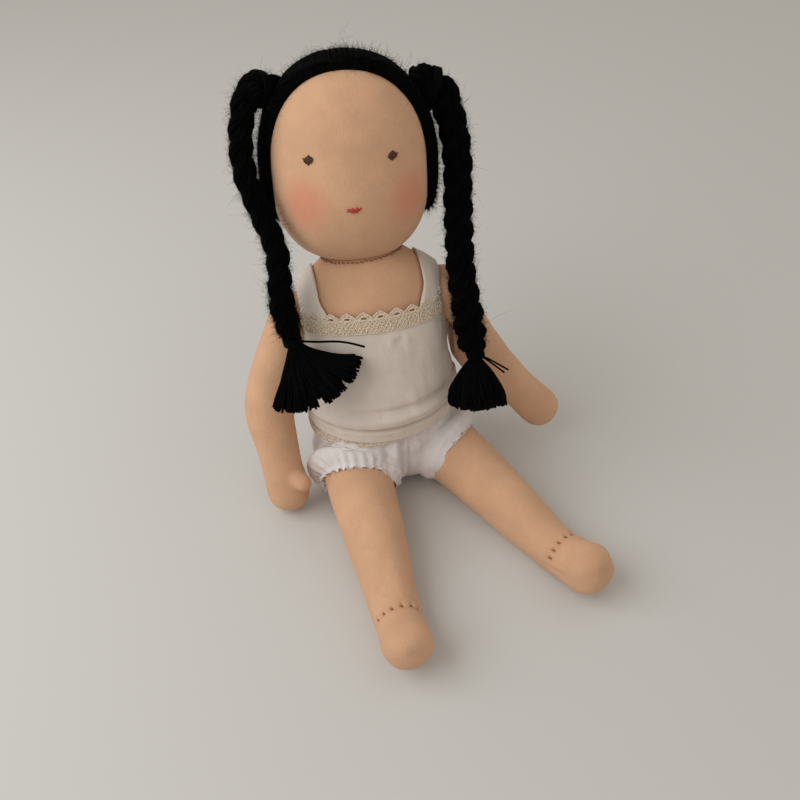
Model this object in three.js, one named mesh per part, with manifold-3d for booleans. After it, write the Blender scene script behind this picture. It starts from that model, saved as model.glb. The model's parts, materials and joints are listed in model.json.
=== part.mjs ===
import * as THREE from "three";
import { mergeVertices } from "three/addons/utils/BufferGeometryUtils.js";
import Module from "manifold-3d";

const wasm = await Module();
wasm.setup();

// A stuffed cloth doll sitting on the floor at z = 0 and facing -Y, its left side towards +X.
// Lengths are millimetres and angles are degrees. Widths and depths are half sizes.
const clearance = 0.4;
const skinThickness = 1.2;
const clothThickness = 1.3;
const threadRadius = 0.5;
const cordRadius = 0.8;
const cutOverrun = 2;

// Torso: a stuffed bag along a spine that leans back, its chest turned a little to the doll's right.
const pelvisHeight = 34;
const pelvisToWaist = 45;
const waistToNeck = 79;
const lowerLean = 3.5;
const upperLean = 16;
const chestTurn = -11;
const seatRound = 27;
const seatForward = 1;
const seatSquareness = 2.6;
const pelvisWidth = 44;
const pelvisDepth = 37;
const waistWidth = 41.5;
const waistDepth = 35;
const chestWidth = 43;
const chestDepth = 32;
const chestBelowNeck = 44;
const shoulderWidth = 41;
const shoulderDepth = 25;
const shoulderBelowNeck = 17;
const neckWidth = 22;
const neckDepth = 20;

// Head: a firm wool ball under the skin, its neck stub running down into the torso.
const headTurn = -15.5;
const headLean = 22.8;
const headTilt = 0.7;
const headAside = -4;
const headCentreAboveNeck = 50;
const headWidth = 45.5;
const headDepth = 45;
const crownRise = 55;
const chinDrop = 54;
const crownSquareness = 2.15;
const chinSquareness = 2.6;
const neckStubRadius = 14;
const neckStubLength = 24;
const neckStubOverlap = 3.2;
const neckTieDrop = 5;
const eyeLineHeight = 5.7;
const eyeLineInset = 2.6;
const earLineInset = 0.6;
const earLineSweep = 135;
const tieSteps = 16;

// Face, as small pads of stitches on the skin.
const eyeSpacing = 22;
const eyeRadius = 2.6;
const mouthDrop = 20.5;
const mouthWidth = 3.6;
const mouthHeight = 1.4;
const stitchRise = 0.9;

// Hair: a cap over crown and nape, open at the face, and two plaits with brush ends.
const hairThickness = 5.6;
const faceOpeningWidth = 43;
const faceOpeningHeight = 51.5;
const faceOpeningCentre = -3;
const hairlineSide = -1;
const napeDrop = 29;
const plaitWidth = 8.6;
const plaitDepth = 7.4;
const rightPlaitFullness = 0.88;
const leftPlaitFullness = 1;
const plaitPinch = 4.6;
const plaitEndRound = 6;
const plaitRootShare = 0.8;
const plaitEndShare = 0.9;
const brushLength = 34;
const brushTop = 5;
const brushMiddleShare = 0.72;
const rightBrushWidth = 22;
const leftBrushWidth = 14;
const brushDepth = 7.5;
const brushEndRound = 5;
// Each plait hangs from the side of the crown, over the shoulder, to its tie in front of the chest.
const rightPlaitPath = [
  [-32, 68, 238],
  [-45, 62, 245],
  [-54, 51, 229],
  [-55, 39, 209],
  [-53.5, 27, 191],
  [-52.5, 15, 174],
  [-52, 8, 158],
  [-52.5, 2, 145],
  [-52, -3, 133],
  [-50, -6, 124],
];
const leftPlaitPath = [
  [43, 50, 240],
  [57, 45, 234],
  [62, 35, 217],
  [61, 24, 199],
  [56.5, 12, 179],
  [53, 1, 160],
  [50.5, -8, 145],
  [49.5, -19.5, 127],
  [50, -26, 109],
  [51.5, -29.5, 99],
];
const rightBrushAim = [0.42, -0.65, -0.62];
const leftBrushAim = [0.05, -0.42, -0.92];
const rightBrushSide = [0.85, 0.06, 0.53];
const leftBrushSide = [1, -0.4, 0.3];

// Arms: soft mittens from a round shoulder end, flat where they lie along the torso.
const shoulderSpread = 45;
const armDrop = 35;
const shoulderRound = 15;
const shoulderBall = 14.2;
const armFlatAt = 46.2;
const armOpeningAt = 36;
const armSeamAt = 39;
const upperArmWidth = 15;
const elbowWidth = 14.4;
const wristWidth = 11.8;
const handWidth = 12.6;
const handDepth = 10.5;
const shoulderToElbow = 59;
const shoulderToWrist = 95.5;
const shoulderToHand = 113;
const armReach = 128;
const handRound = 13;
const rightElbowBow = 14;
const rightHandBow = -7;
const leftElbowBow = -5.5;
const leftHandBow = 2.5;
const rightArmOut = 16.5;
const rightArmForward = 22;
const leftArmOut = 30.7;
const leftArmForward = 20;
const thumbLength = 11;
const thumbRadius = 4.6;
const thumbAt = 97;
const thumbDroop = 24;
const rightThumbTurn = 141;
const leftThumbTurn = -105;

// Legs: soft tubes from a round hip end, tapering to a short foot bent up at the ankle.
const hipSpread = 26;
const hipForward = 2;
const hipHeight = 24;
const hipRound = 21.5;
const hipOpeningAt = 19.5;
const hipSeamAt = 18.5;
const thighWidth = 21;
const kneeWidth = 17.6;
const ankleWidth = 13.2;
const footWidth = 14;
const footDepth = 13.5;
const hipToThigh = 36;
const hipToKnee = 82;
const hipToAnkle = 136;
const footReach = 32;
const footRound = 13;
const footLift = 28;
const legDroop = 4.4;
const ankleStitchTurn = 100;
const ankleStitchStep = 20;
const legFold = 80;
const legSplay = 18;
const rightLegOut = 7;
const leftLegOut = 17.5;

// Clothes: camisole with straps and lace, bloomers with a lace waistband and leg elastics.
const hemHeight = 53;
const clothEase = 0.9;
const hemFlare = 3.6;
const hemBandHeight = 8;
const hemFoldEase = 3.2;
const bellyFoldHeight = 15;
const bellyFoldEase = 4.6;
const flareHeight = 30;
const bodiceBelowNeck = 35;
const strapCentre = 36.5;
const strapWidth = 11;
const strapTopBelowNeck = 6;
const laceHeight = 11;
const laceThickness = 0.8;
const laceAbove = 3;
const armholeGap = 2.2;
const bloomersEase = 2.2;
const thighEase = 3.2;
const bloomersTop = 57;
const waistbandHeight = 7;
const waistbandThickness = 0.9;
const legCoverLength = 32;
const elasticWidth = 4;
const elasticThickness = 1.8;
const seatPress = 0.5;

const skinColour = 0xd9aa86;
const woolColour = 0xf0e8d6;
const hairColour = 0x0c0b0b;
const camisoleColour = 0xe6ded6;
const bloomersColour = 0xefeae8;
const laceColour = 0xe4d3b8;
const threadColour = 0x7a4c33;
const eyeColour = 0x4a2f20;
const mouthColour = 0xb4473d;

const vec = (x, y, z) => new THREE.Vector3(x, y, z);
const radians = THREE.MathUtils.degToRad;

// A value that runs smoothly through stations given as [distance, value].
function smoothThrough(stations, distance) {
  const last = stations.length - 1;
  if (distance <= stations[0][0]) return stations[0][1];
  if (distance >= stations[last][0]) return stations[last][1];
  const next = stations.findIndex(([at]) => at > distance);
  const slope = (i) => {
    const before = stations[Math.max(i - 1, 0)];
    const after = stations[Math.min(i + 1, last)];
    return (after[1] - before[1]) / (after[0] - before[0]);
  };
  const [start, low] = stations[next - 1];
  const [end, high] = stations[next];
  const span = end - start;
  const t = (distance - start) / span;
  const rise = high - low;
  const bendIn = slope(next - 1) * span - rise;
  const bendOut = rise - slope(next) * span;
  return low + rise * t + t * (1 - t) * (bendIn * (1 - t) + bendOut * t);
}

// The half size at a distance past a rounded end, as a share of the full half size.
function roundedShare(past, round, squareness) {
  if (past >= round) return 1;
  const away = 1 - Math.max(past, 0) / round;
  return Math.pow(1 - Math.pow(away, squareness), 1 / squareness);
}

// Distances for the rings of a form: close together in its rounded ends, even between them.
function ringDistances(start, end, startRound, endRound, rings, capRings) {
  const distances = [];
  for (let i = 1; i <= capRings && startRound > 0; i++) {
    const angle = (i / (capRings + 1)) * 90;
    distances.push(start + startRound * (1 - Math.cos(radians(angle))));
  }
  for (let i = 0; i <= rings; i++) {
    const from = start + startRound;
    const to = end - endRound;
    distances.push(from + ((to - from) * i) / rings);
  }
  for (let i = capRings; i >= 1 && endRound > 0; i--) {
    const angle = (i / (capRings + 1)) * 90;
    distances.push(end - endRound * (1 - Math.cos(radians(angle))));
  }
  return distances;
}

// The distances of a form's rings with the nearest one moved onto a place that needs a ring.
function withRingAt(distances, place) {
  const away = distances.map((distance) => Math.abs(distance - place));
  const nearest = away.indexOf(Math.min(...away));
  return distances.map((distance, i) => (i === nearest ? place : distance));
}

// The centre and the side, front and along axes of a form's section at a distance along its spine.
function sectionFrame(form, distance) {
  const length = form.spine.getLength();
  const share = THREE.MathUtils.clamp(distance / length, 0, 1);
  const along = form.spine.getTangentAt(share);
  const centre = form.spine.getPointAt(share);
  centre.addScaledVector(along, distance - share * length);
  const side = form.side(distance).clone();
  side.addScaledVector(along, -side.dot(along)).normalize();
  const front = vec(0, 0, 0).crossVectors(side, along);
  return { centre, side, front, along };
}

// The outline of a form at a distance along its spine, grown outwards by an amount.
function sectionRing(form, distance, grow) {
  const length = form.spine.getLength();
  const startShare = form.startRound
    ? roundedShare(distance + grow, form.startRound + grow, form.startSquareness ?? 2)
    : 1;
  const endShare = form.endRound
    ? roundedShare(length + grow - distance, form.endRound + grow, form.endSquareness ?? 2)
    : 1;
  const share = startShare * endShare;
  const wide = (smoothThrough(form.widths, distance) + grow) * share;
  const deep = (smoothThrough(form.depths, distance) + grow) * share;
  const { centre, side, front } = sectionFrame(form, distance);
  const ring = [];
  for (let i = 0; i < form.around; i++) {
    const angle = (i / form.around) * 2 * Math.PI;
    const point = centre.clone();
    point.addScaledVector(side, Math.cos(angle) * wide);
    point.addScaledVector(front, Math.sin(angle) * deep);
    ring.push(point);
  }
  return ring;
}

// A solid from a list of points and a list of triangles, with its faces turned outwards.
function solidFrom(points, triangles) {
  const build = (faces) =>
    new wasm.Manifold(
      new wasm.Mesh({
        numProp: 3,
        vertProperties: new Float32Array(points.flatMap((p) => p.toArray())),
        triVerts: new Uint32Array(faces.flat()),
      }),
    );
  const made = build(triangles);
  if (made.volume() > 0) return made;
  return build(triangles.map(([a, b, c]) => [a, c, b]));
}

// The faces between two neighbouring rings whose points start at the two indices.
function faceStrip(first, second, around) {
  const faces = [];
  for (let i = 0; i < around; i++) {
    const j = (i + 1) % around;
    faces.push([first + i, first + j, second + i]);
    faces.push([first + j, second + j, second + i]);
  }
  return faces;
}

// A stuffed form as a solid, grown or shrunk all over by an amount.
function formSolid(form, grow = 0) {
  const length = form.spine.getLength();
  const start = form.startRound ? -grow : 0;
  const end = form.endRound ? length + grow : length + (form.runOver ?? 0);
  const startRound = form.startRound ? form.startRound + grow : 0;
  const endRound = form.endRound ? form.endRound + grow : 0;
  const caps = form.capRings ?? 4;
  const evenly = ringDistances(start, end, startRound, endRound, form.rings, caps);
  const distances = form.ringAt ? withRingAt(evenly, form.ringAt) : evenly;
  const points = distances.flatMap((d) => sectionRing(form, d, grow));
  const faces = [];
  for (let k = 0; k + 1 < distances.length; k++) {
    faces.push(...faceStrip(k * form.around, (k + 1) * form.around, form.around));
  }
  const lastRing = (distances.length - 1) * form.around;
  const startTip = points.push(sectionFrame(form, start).centre) - 1;
  const endTip = points.push(sectionFrame(form, end).centre) - 1;
  for (let i = 0; i < form.around; i++) {
    const j = (i + 1) % form.around;
    faces.push([startTip, j, i]);
    faces.push([endTip, lastRing + i, lastRing + j]);
  }
  return solidFrom(points, faces);
}

// A band of cloth round a form between two distances, its inside and outside grown by functions.
function bandRound(form, from, to, rings, inside, outside) {
  const distances = [];
  for (let i = 0; i <= rings; i++) distances.push(from + ((to - from) * i) / rings);
  const outer = distances.flatMap((d) => sectionRing(form, d, outside(d)));
  const inner = distances.flatMap((d) => sectionRing(form, d, inside(d)));
  const innerStart = outer.length;
  const faces = [];
  for (let k = 0; k < rings; k++) {
    const ring = k * form.around;
    const next = ring + form.around;
    faces.push(...faceStrip(ring, next, form.around));
    faces.push(...faceStrip(innerStart + next, innerStart + ring, form.around));
  }
  faces.push(...faceStrip(innerStart, 0, form.around));
  const lastRing = rings * form.around;
  faces.push(...faceStrip(lastRing, innerStart + lastRing, form.around));
  return solidFrom([...outer, ...inner], faces);
}

// A stock geometry as a solid, placed by a matrix.
function stockSolid(geometry, matrix) {
  const plain = geometry.clone();
  plain.deleteAttribute("normal");
  plain.deleteAttribute("uv");
  const merged = mergeVertices(plain.applyMatrix4(matrix), 1e-4);
  return new wasm.Manifold(
    new wasm.Mesh({
      numProp: 3,
      vertProperties: merged.attributes.position.array,
      triVerts: new Uint32Array(merged.index.array),
    }),
  );
}

const ballSegments = 12;
const ballRows = 7;
const ballSlack = 1 / (Math.cos(Math.PI / ballSegments) * Math.cos(Math.PI / (2 * ballRows)));
const ballSolid = (centre, radius) =>
  stockSolid(
    new THREE.SphereGeometry(radius, ballSegments, ballRows),
    new THREE.Matrix4().setPosition(centre),
  );
// A ball whose flat facets all stay outside the radius.
const ballRoom = (centre, radius) => ballSolid(centre, radius * ballSlack);

// A matrix that turns local +Z to a direction and moves the origin to a place.
function aimed(place, direction) {
  const turn = new THREE.Quaternion().setFromUnitVectors(vec(0, 0, 1), direction.clone().normalize());
  return new THREE.Matrix4().compose(place, turn, vec(1, 1, 1));
}

const hoopSegments = 14;
const hoopSides = 4;
const hoopSolid = (centre, axis, radius, thickness) =>
  stockSolid(new THREE.TorusGeometry(radius, thickness, hoopSides, hoopSegments), aimed(centre, axis));

const rodSides = 14;
const rodSlack = 1 / Math.cos(Math.PI / rodSides);
function rodSolid(from, to, radius) {
  const axis = to.clone().sub(from);
  const upright = new THREE.Matrix4().makeRotationX(Math.PI / 2);
  const middle = from.clone().add(to).multiplyScalar(0.5);
  const placed = aimed(middle, axis).multiply(upright);
  return stockSolid(new THREE.CylinderGeometry(radius, radius, axis.length(), rodSides), placed);
}

// A thread or cord along an open line of points, with rounded ends. No thread runs along its side.
const threadSide = vec(0.3, 0.5, 0.8);
function threadSolid(points, radius, rings) {
  const form = {
    spine: new THREE.CatmullRomCurve3(points),
    side: () => threadSide,
    widths: [[0, radius]],
    depths: [[0, radius]],
    startRound: radius,
    endRound: radius,
    around: 5,
    rings,
    capRings: 1,
  };
  return formSolid(form);
}

// A closed cord through points on a loop.
function loopSolid(points, radius) {
  const loop = new THREE.CatmullRomCurve3(points, true);
  const tube = new THREE.TubeGeometry(loop, points.length, radius, hoopSides, true);
  return stockSolid(tube, new THREE.Matrix4());
}

// Keeps the side of a solid that a direction points to, past a place.
const keepPast = (solid, place, direction) =>
  solid.trimByPlane(direction.toArray(), place.dot(direction));

const floorUp = vec(0, 0, 1);
const floorPlace = vec(0, 0, 0);
const onFloor = (solid) => keepPast(solid, floorPlace, floorUp);

// Torso placement.
const leanBack = (angle) => vec(0, Math.sin(radians(angle)), Math.cos(radians(angle)));
const pelvis = vec(0, 0, pelvisHeight);
const waist = pelvis.clone().addScaledVector(leanBack(lowerLean), pelvisToWaist);
const neckAxis = leanBack(upperLean);
const neck = waist.clone().addScaledVector(neckAxis, waistToNeck);
const seat = vec(0, -seatForward, bloomersEase - seatPress);
const chestFrame = new THREE.Matrix4()
  .makeRotationX(-radians(upperLean))
  .multiply(new THREE.Matrix4().makeRotationZ(radians(chestTurn)));
const chestSide = vec(1, 0, 0).applyMatrix4(chestFrame);
const chestBack = vec(0, 1, 0).applyMatrix4(chestFrame);
const inChest = (x, y, z) => vec(x, y, z).applyMatrix4(chestFrame).add(neck);

const torsoSpine = new THREE.CatmullRomCurve3([
  seat,
  pelvis,
  waist,
  neck.clone().addScaledVector(neckAxis, -waistToNeck / 2),
  neck,
]);
const torsoLength = torsoSpine.getLength();
const waistAt = pelvisHeight + pelvisToWaist;
const torsoForm = {
  spine: torsoSpine,
  side: (distance) => {
    const share = THREE.MathUtils.smoothstep(distance, pelvisHeight, torsoLength - chestBelowNeck);
    const turn = radians(chestTurn) * share;
    return vec(Math.cos(turn), Math.sin(turn), 0);
  },
  widths: [
    [0, pelvisWidth],
    [pelvisHeight, pelvisWidth],
    [waistAt, waistWidth],
    [torsoLength - chestBelowNeck, chestWidth],
    [torsoLength - shoulderBelowNeck, shoulderWidth],
    [torsoLength, neckWidth],
  ],
  depths: [
    [0, pelvisDepth],
    [pelvisHeight, pelvisDepth],
    [waistAt, waistDepth],
    [torsoLength - chestBelowNeck, chestDepth],
    [torsoLength - shoulderBelowNeck, shoulderDepth],
    [torsoLength, neckDepth],
  ],
  startRound: seatRound,
  startSquareness: seatSquareness,
  around: 16,
  rings: 8,
  capRings: 3,
};
const torsoPastNeck = { ...torsoForm, runOver: cutOverrun };

// Head placement.
const headFrame = new THREE.Matrix4()
  .makeRotationZ(radians(headTurn))
  .multiply(new THREE.Matrix4().makeRotationY(radians(headTilt)))
  .multiply(new THREE.Matrix4().makeRotationX(-radians(headLean)));
const headUp = vec(0, 0, 1).applyMatrix4(headFrame);
const headCentre = neck.clone().addScaledVector(headUp, headCentreAboveNeck);
headCentre.x += headAside;
const inHead = (x, y, z) => vec(x, y, z).applyMatrix4(headFrame).add(headCentre);
const headMatrix = headFrame.clone().setPosition(headCentre);
const headForm = {
  spine: new THREE.LineCurve3(inHead(0, 0, -chinDrop), inHead(0, 0, crownRise)),
  side: () => vec(1, 0, 0).applyMatrix4(headFrame),
  widths: [[0, headWidth]],
  depths: [[0, headDepth]],
  startRound: chinDrop,
  startSquareness: chinSquareness,
  endRound: crownRise,
  endSquareness: crownSquareness,
  around: 18,
  rings: 1,
  capRings: 4,
};
const aboveNeck = neck.clone().addScaledVector(neckAxis, clearance / 2);
const belowNeck = neck.clone().addScaledVector(neckAxis, -clearance / 2);
const keepAboveNeck = (solid) => keepPast(solid, aboveNeck, neckAxis);
const keepBelowNeck = (solid) => keepPast(solid, belowNeck, neckAxis.clone().negate());

// The distance out from the head's centre line to the front of its skin at a place on the face.
function faceDepth(x, z) {
  const drop = z < 0 ? chinDrop : crownRise;
  const squareness = z < 0 ? chinSquareness : crownSquareness;
  const share = roundedShare(drop - Math.abs(z), drop, squareness);
  return headDepth * share * Math.sqrt(1 - (x / (headWidth * share)) ** 2);
}

// Arm placement. A thumb turns about its arm from outwards, over the front, and droops towards the hand.
function armOf(sideSign, out, forward, elbowBow, handBow, thumbTurn) {
  const wristBow = (elbowBow + handBow) / 2;
  const pivot = inChest(sideSign * shoulderSpread, 0, -armDrop);
  const down = vec(
    sideSign * Math.sin(radians(out)),
    -Math.cos(radians(out)) * Math.sin(radians(forward)),
    -Math.cos(radians(out)) * Math.cos(radians(forward)),
  );
  const away = chestSide.clone().multiplyScalar(sideSign);
  const bow = away.clone().addScaledVector(down, -away.dot(down)).normalize();
  const at = (distance, bowed) =>
    pivot.clone().addScaledVector(down, distance).addScaledVector(bow, bowed);
  const spine = new THREE.CatmullRomCurve3([
    at(-shoulderRound, 0),
    pivot,
    at(shoulderToElbow, elbowBow),
    at(shoulderToWrist, wristBow),
    at(armReach, handBow),
  ]);
  const form = {
    spine,
    side: () => bow,
    widths: [
      [shoulderRound, shoulderRound],
      [shoulderRound * 2, upperArmWidth],
      [shoulderRound + shoulderToElbow, elbowWidth],
      [shoulderRound + shoulderToWrist, wristWidth],
      [shoulderRound + shoulderToHand, handWidth],
    ],
    depths: [
      [shoulderRound, shoulderRound],
      [shoulderRound * 2, upperArmWidth],
      [shoulderRound + shoulderToElbow, elbowWidth],
      [shoulderRound + shoulderToWrist, wristWidth],
      [shoulderRound + shoulderToHand, handDepth],
    ],
    startRound: shoulderRound,
    endRound: handRound,
    around: 10,
    rings: 6,
    capRings: 2,
  };
  const ahead = vec(0, 0, 0).crossVectors(down, bow).multiplyScalar(sideSign);
  const thumbFrom = at(thumbAt, wristBow);
  const thumbSideways = bow.clone().multiplyScalar(Math.cos(radians(thumbTurn)));
  thumbSideways.addScaledVector(ahead, Math.sin(radians(thumbTurn)));
  const thumbAim = thumbSideways.multiplyScalar(Math.cos(radians(thumbDroop)));
  thumbAim.addScaledVector(down, Math.sin(radians(thumbDroop)));
  const thumbTo = thumbFrom.clone().addScaledVector(thumbAim, wristWidth + thumbLength);
  const thumbForm = {
    spine: new THREE.LineCurve3(thumbFrom, thumbTo),
    side: () => bow,
    widths: [[0, thumbRadius]],
    depths: [[0, thumbRadius]],
    endRound: thumbRadius,
    around: 8,
    rings: 1,
    capRings: 2,
  };
  const flatPlace = (grow) => inChest(sideSign * (armFlatAt - grow), 0, 0);
  const solid = (grow) => {
    const limb = keepPast(formSolid(form, grow), flatPlace(grow), away);
    const thumb = formSolid(thumbForm, grow);
    return limb.add(ballSolid(pivot, shoulderBall + grow)).add(thumb);
  };
  const openingPlace = inChest(sideSign * armOpeningAt, 0, 0);
  const stuffingPlace = inChest(sideSign * (armOpeningAt + clearance), 0, 0);
  const inner = skinThickness + clearance;
  const skin = keepPast(solid(0).subtract(solid(-skinThickness)), openingPlace, away);
  const stuffing = keepPast(solid(-inner), stuffingPlace, away);
  const seamCentre = inChest(sideSign * armSeamAt, 0, -armDrop);
  const seamReach = shoulderRound + clearance + threadRadius;
  const seamRadius = Math.sqrt(seamReach ** 2 - (shoulderSpread - armSeamAt) ** 2);
  const seam = hoopSolid(seamCentre, chestSide, seamRadius, threadRadius);
  return { pivot, skin, stuffing, seam, down };
}
const rightArm = armOf(-1, rightArmOut, rightArmForward, rightElbowBow, rightHandBow, rightThumbTurn);
const leftArm = armOf(1, leftArmOut, leftArmForward, leftElbowBow, leftHandBow, leftThumbTurn);
const shoulderSocket = shoulderRound + 2 * threadRadius + 2 * clearance;

// Leg placement. Each leg lies on the floor, its top side up.
function legOf(sideSign, out) {
  const pivot = vec(sideSign * hipSpread, -hipForward, hipHeight);
  const level = vec(sideSign * Math.sin(radians(out)), -Math.cos(radians(out)), 0);
  const alongLeg = level.clone().multiplyScalar(Math.cos(radians(legDroop)));
  alongLeg.z = -Math.sin(radians(legDroop));
  const alongFoot = level.clone().multiplyScalar(Math.cos(radians(footLift)));
  alongFoot.z = Math.sin(radians(footLift));
  const across = vec(-level.y, level.x, 0);
  const at = (distance) => pivot.clone().addScaledVector(alongLeg, distance);
  const ankle = at(hipToAnkle);
  const spine = new THREE.CatmullRomCurve3([
    at(-hipRound),
    pivot,
    at(hipToThigh),
    at(hipToKnee),
    ankle,
    ankle.clone().addScaledVector(alongFoot, footReach),
  ]);
  const form = {
    spine,
    side: () => across,
    widths: [
      [hipRound, hipRound],
      [hipRound + hipToThigh, thighWidth],
      [hipRound + hipToKnee, kneeWidth],
      [hipRound + hipToAnkle, ankleWidth],
      [hipRound + hipToAnkle + footReach / 2, footWidth],
    ],
    depths: [
      [hipRound, hipRound],
      [hipRound + hipToThigh, thighWidth],
      [hipRound + hipToKnee, kneeWidth],
      [hipRound + hipToAnkle, ankleWidth],
      [hipRound + hipToAnkle + footReach / 2, footDepth],
    ],
    startRound: hipRound,
    endRound: footRound,
    ringAt: hipRound + hipToAnkle,
    around: 12,
    rings: 7,
    capRings: 2,
  };
  const solid = (grow) => formSolid(form, grow);
  const openingPlace = at(-hipOpeningAt);
  const stuffingPlace = at(-hipOpeningAt + clearance);
  const inner = skinThickness + clearance;
  const floorInside = vec(0, 0, skinThickness);
  const floorStuffing = vec(0, 0, inner);
  const inside = keepPast(solid(-skinThickness), floorInside, floorUp);
  const skin = keepPast(onFloor(solid(0)).subtract(inside), openingPlace, alongLeg);
  const stuffing = keepPast(keepPast(solid(-inner), floorStuffing, floorUp), stuffingPlace, alongLeg);
  const seamRadius = Math.sqrt((hipRound + clearance + threadRadius) ** 2 - hipSeamAt ** 2);
  const seam = hoopSolid(at(-hipSeamAt), alongLeg, seamRadius, threadRadius);
  const elasticFrom = hipRound + legCoverLength + clearance;
  const elasticTo = elasticFrom + elasticWidth;
  const elastic = onFloor(
    bandRound(form, elasticFrom, elasticTo, 1, () => clearance, () => elasticThickness),
  );
  const elasticRoom = bandRound(
    form,
    elasticFrom - clearance,
    elasticTo + clearance,
    1,
    () => 0,
    () => elasticThickness + clearance,
  );
  const stitchPoints = [];
  for (let angle = -ankleStitchTurn; angle <= ankleStitchTurn; angle += ankleStitchStep) {
    const { centre, side, front } = sectionFrame(form, hipRound + hipToAnkle);
    const reach = ankleWidth + clearance + threadRadius;
    const topwards = front.z > 0 ? front : front.clone().negate();
    const point = centre.clone();
    point.addScaledVector(side, Math.sin(radians(angle)) * reach);
    point.addScaledVector(topwards, Math.cos(radians(angle)) * reach);
    stitchPoints.push(point);
  }
  const stitchLine = threadSolid(stitchPoints, threadRadius, stitchPoints.length);
  const stitches = stitchLine.subtract(solid(clearance));
  const limbRadius = hipRound + clearance;
  const swingCentre = pivot.clone().addScaledVector(level, hipToKnee / 2);
  swingCentre.addScaledVector(floorUp, -hipToKnee / 2);
  const swingBox = stockSolid(
    new THREE.BoxGeometry(2 * limbRadius, hipToKnee, hipToKnee),
    new THREE.Matrix4().makeRotationZ(radians(sideSign * out)).setPosition(swingCentre),
  );
  const legAim = (fold, splay) =>
    alongLeg
      .clone()
      .applyAxisAngle(floorUp, radians(sideSign * splay))
      .applyAxisAngle(across, radians(fold));
  const sweep = [
    [0, 0],
    [0, legSplay],
    [legFold, 0],
    [legFold, legSplay],
  ].reduce((joined, [fold, splay]) => {
    const far = pivot.clone().addScaledVector(legAim(fold, splay), hipToKnee);
    return joined.add(rodSolid(pivot, far, limbRadius * rodSlack));
  }, swingBox);
  return { pivot, solid, skin, stuffing, seam, elastic, elasticRoom, stitches, sweep, alongLeg, at };
}
const rightLeg = legOf(-1, rightLegOut);
const leftLeg = legOf(1, leftLegOut);
const hipSocket = hipRound + 2 * threadRadius + 2 * clearance;

// Everything that the torso gives way to: the round limb ends and the ground the legs swing through.
const limbRoom = [rightLeg, leftLeg]
  .map((leg) => leg.sweep.add(ballRoom(leg.pivot, hipSocket)))
  .concat([rightArm, leftArm].map((arm) => ballRoom(arm.pivot, shoulderSocket)))
  .reduce((joined, room) => joined.add(room));

// Torso skin, open at the neck and at each limb, and the wool inside it.
const torsoShell = formSolid(torsoForm, 0).subtract(formSolid(torsoPastNeck, -skinThickness));
const torsoSkin = keepBelowNeck(torsoShell.subtract(limbRoom));
const neckStubEnd = neck.clone().addScaledVector(neckAxis, -neckStubLength);
const neckStubTop = neck.clone().addScaledVector(neckAxis, neckStubOverlap);
const neckRoomEnd = neck.clone().addScaledVector(neckAxis, -neckStubLength - clearance);
const stuffingDrop = neckTieDrop + 2 * cordRadius;
const stuffingTop = neck.clone().addScaledVector(neckAxis, -stuffingDrop);
const torsoStuffing = keepPast(
  formSolid(torsoPastNeck, -skinThickness - clearance)
    .subtract(limbRoom)
    .subtract(rodSolid(neckRoomEnd, neckStubTop, neckStubRadius + clearance)),
  stuffingTop,
  neckAxis.clone().negate(),
);

// Head core with its ties, and the skin over it, open at the neck.
const coreInset = skinThickness + 2 * clearance;
const eyeLinePoints = [];
const earLinePoints = [];
const eyeLineShare = roundedShare(crownRise - eyeLineHeight, crownRise, crownSquareness);
for (let i = 0; i < tieSteps; i++) {
  const angle = (i / tieSteps) * 2 * Math.PI;
  const wide = (headWidth - coreInset) * eyeLineShare - eyeLineInset;
  const deep = (headDepth - coreInset) * eyeLineShare - eyeLineInset;
  eyeLinePoints.push(inHead(Math.cos(angle) * wide, Math.sin(angle) * deep, eyeLineHeight));
}
for (let i = 0; i <= tieSteps; i++) {
  const angle = radians(-earLineSweep + (2 * earLineSweep * i) / tieSteps);
  const high = Math.cos(angle) > 0 ? crownRise : chinDrop;
  const wide = headWidth - coreInset - earLineInset;
  const tall = high - coreInset - earLineInset;
  earLinePoints.push(inHead(Math.sin(angle) * wide, 0, Math.cos(angle) * tall));
}
const eyeLineTie = loopSolid(eyeLinePoints, cordRadius);
const eyeLineRoom = loopSolid(eyeLinePoints, cordRadius + clearance);
const earLineTie = threadSolid(earLinePoints, cordRadius, tieSteps).subtract(eyeLineRoom);
const earLineRoom = threadSolid(earLinePoints, cordRadius + clearance, tieSteps);
const headCore = keepAboveNeck(formSolid(headForm, -coreInset))
  .add(rodSolid(neckStubEnd, neckStubTop, neckStubRadius))
  .subtract(eyeLineRoom)
  .subtract(earLineRoom);
const neckTiePlace = neck.clone().addScaledVector(neckAxis, -neckTieDrop + cordRadius);
const neckTie = hoopSolid(neckTiePlace, neckAxis, neckStubRadius + clearance + cordRadius, cordRadius);
const headInside = formSolid(headForm, -skinThickness).add(
  rodSolid(neckStubEnd, neckStubTop, neckStubRadius + 2 * clearance),
);
const headSkin = keepAboveNeck(formSolid(headForm, 0).subtract(headInside).subtract(earLineRoom));
const neckSeamAt = torsoLength - clearance - 2 * threadRadius;
const neckSeamReach = 2 * (clearance + threadRadius);
const neckSeam = loopSolid(sectionRing(torsoForm, neckSeamAt, neckSeamReach), threadRadius);

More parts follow.
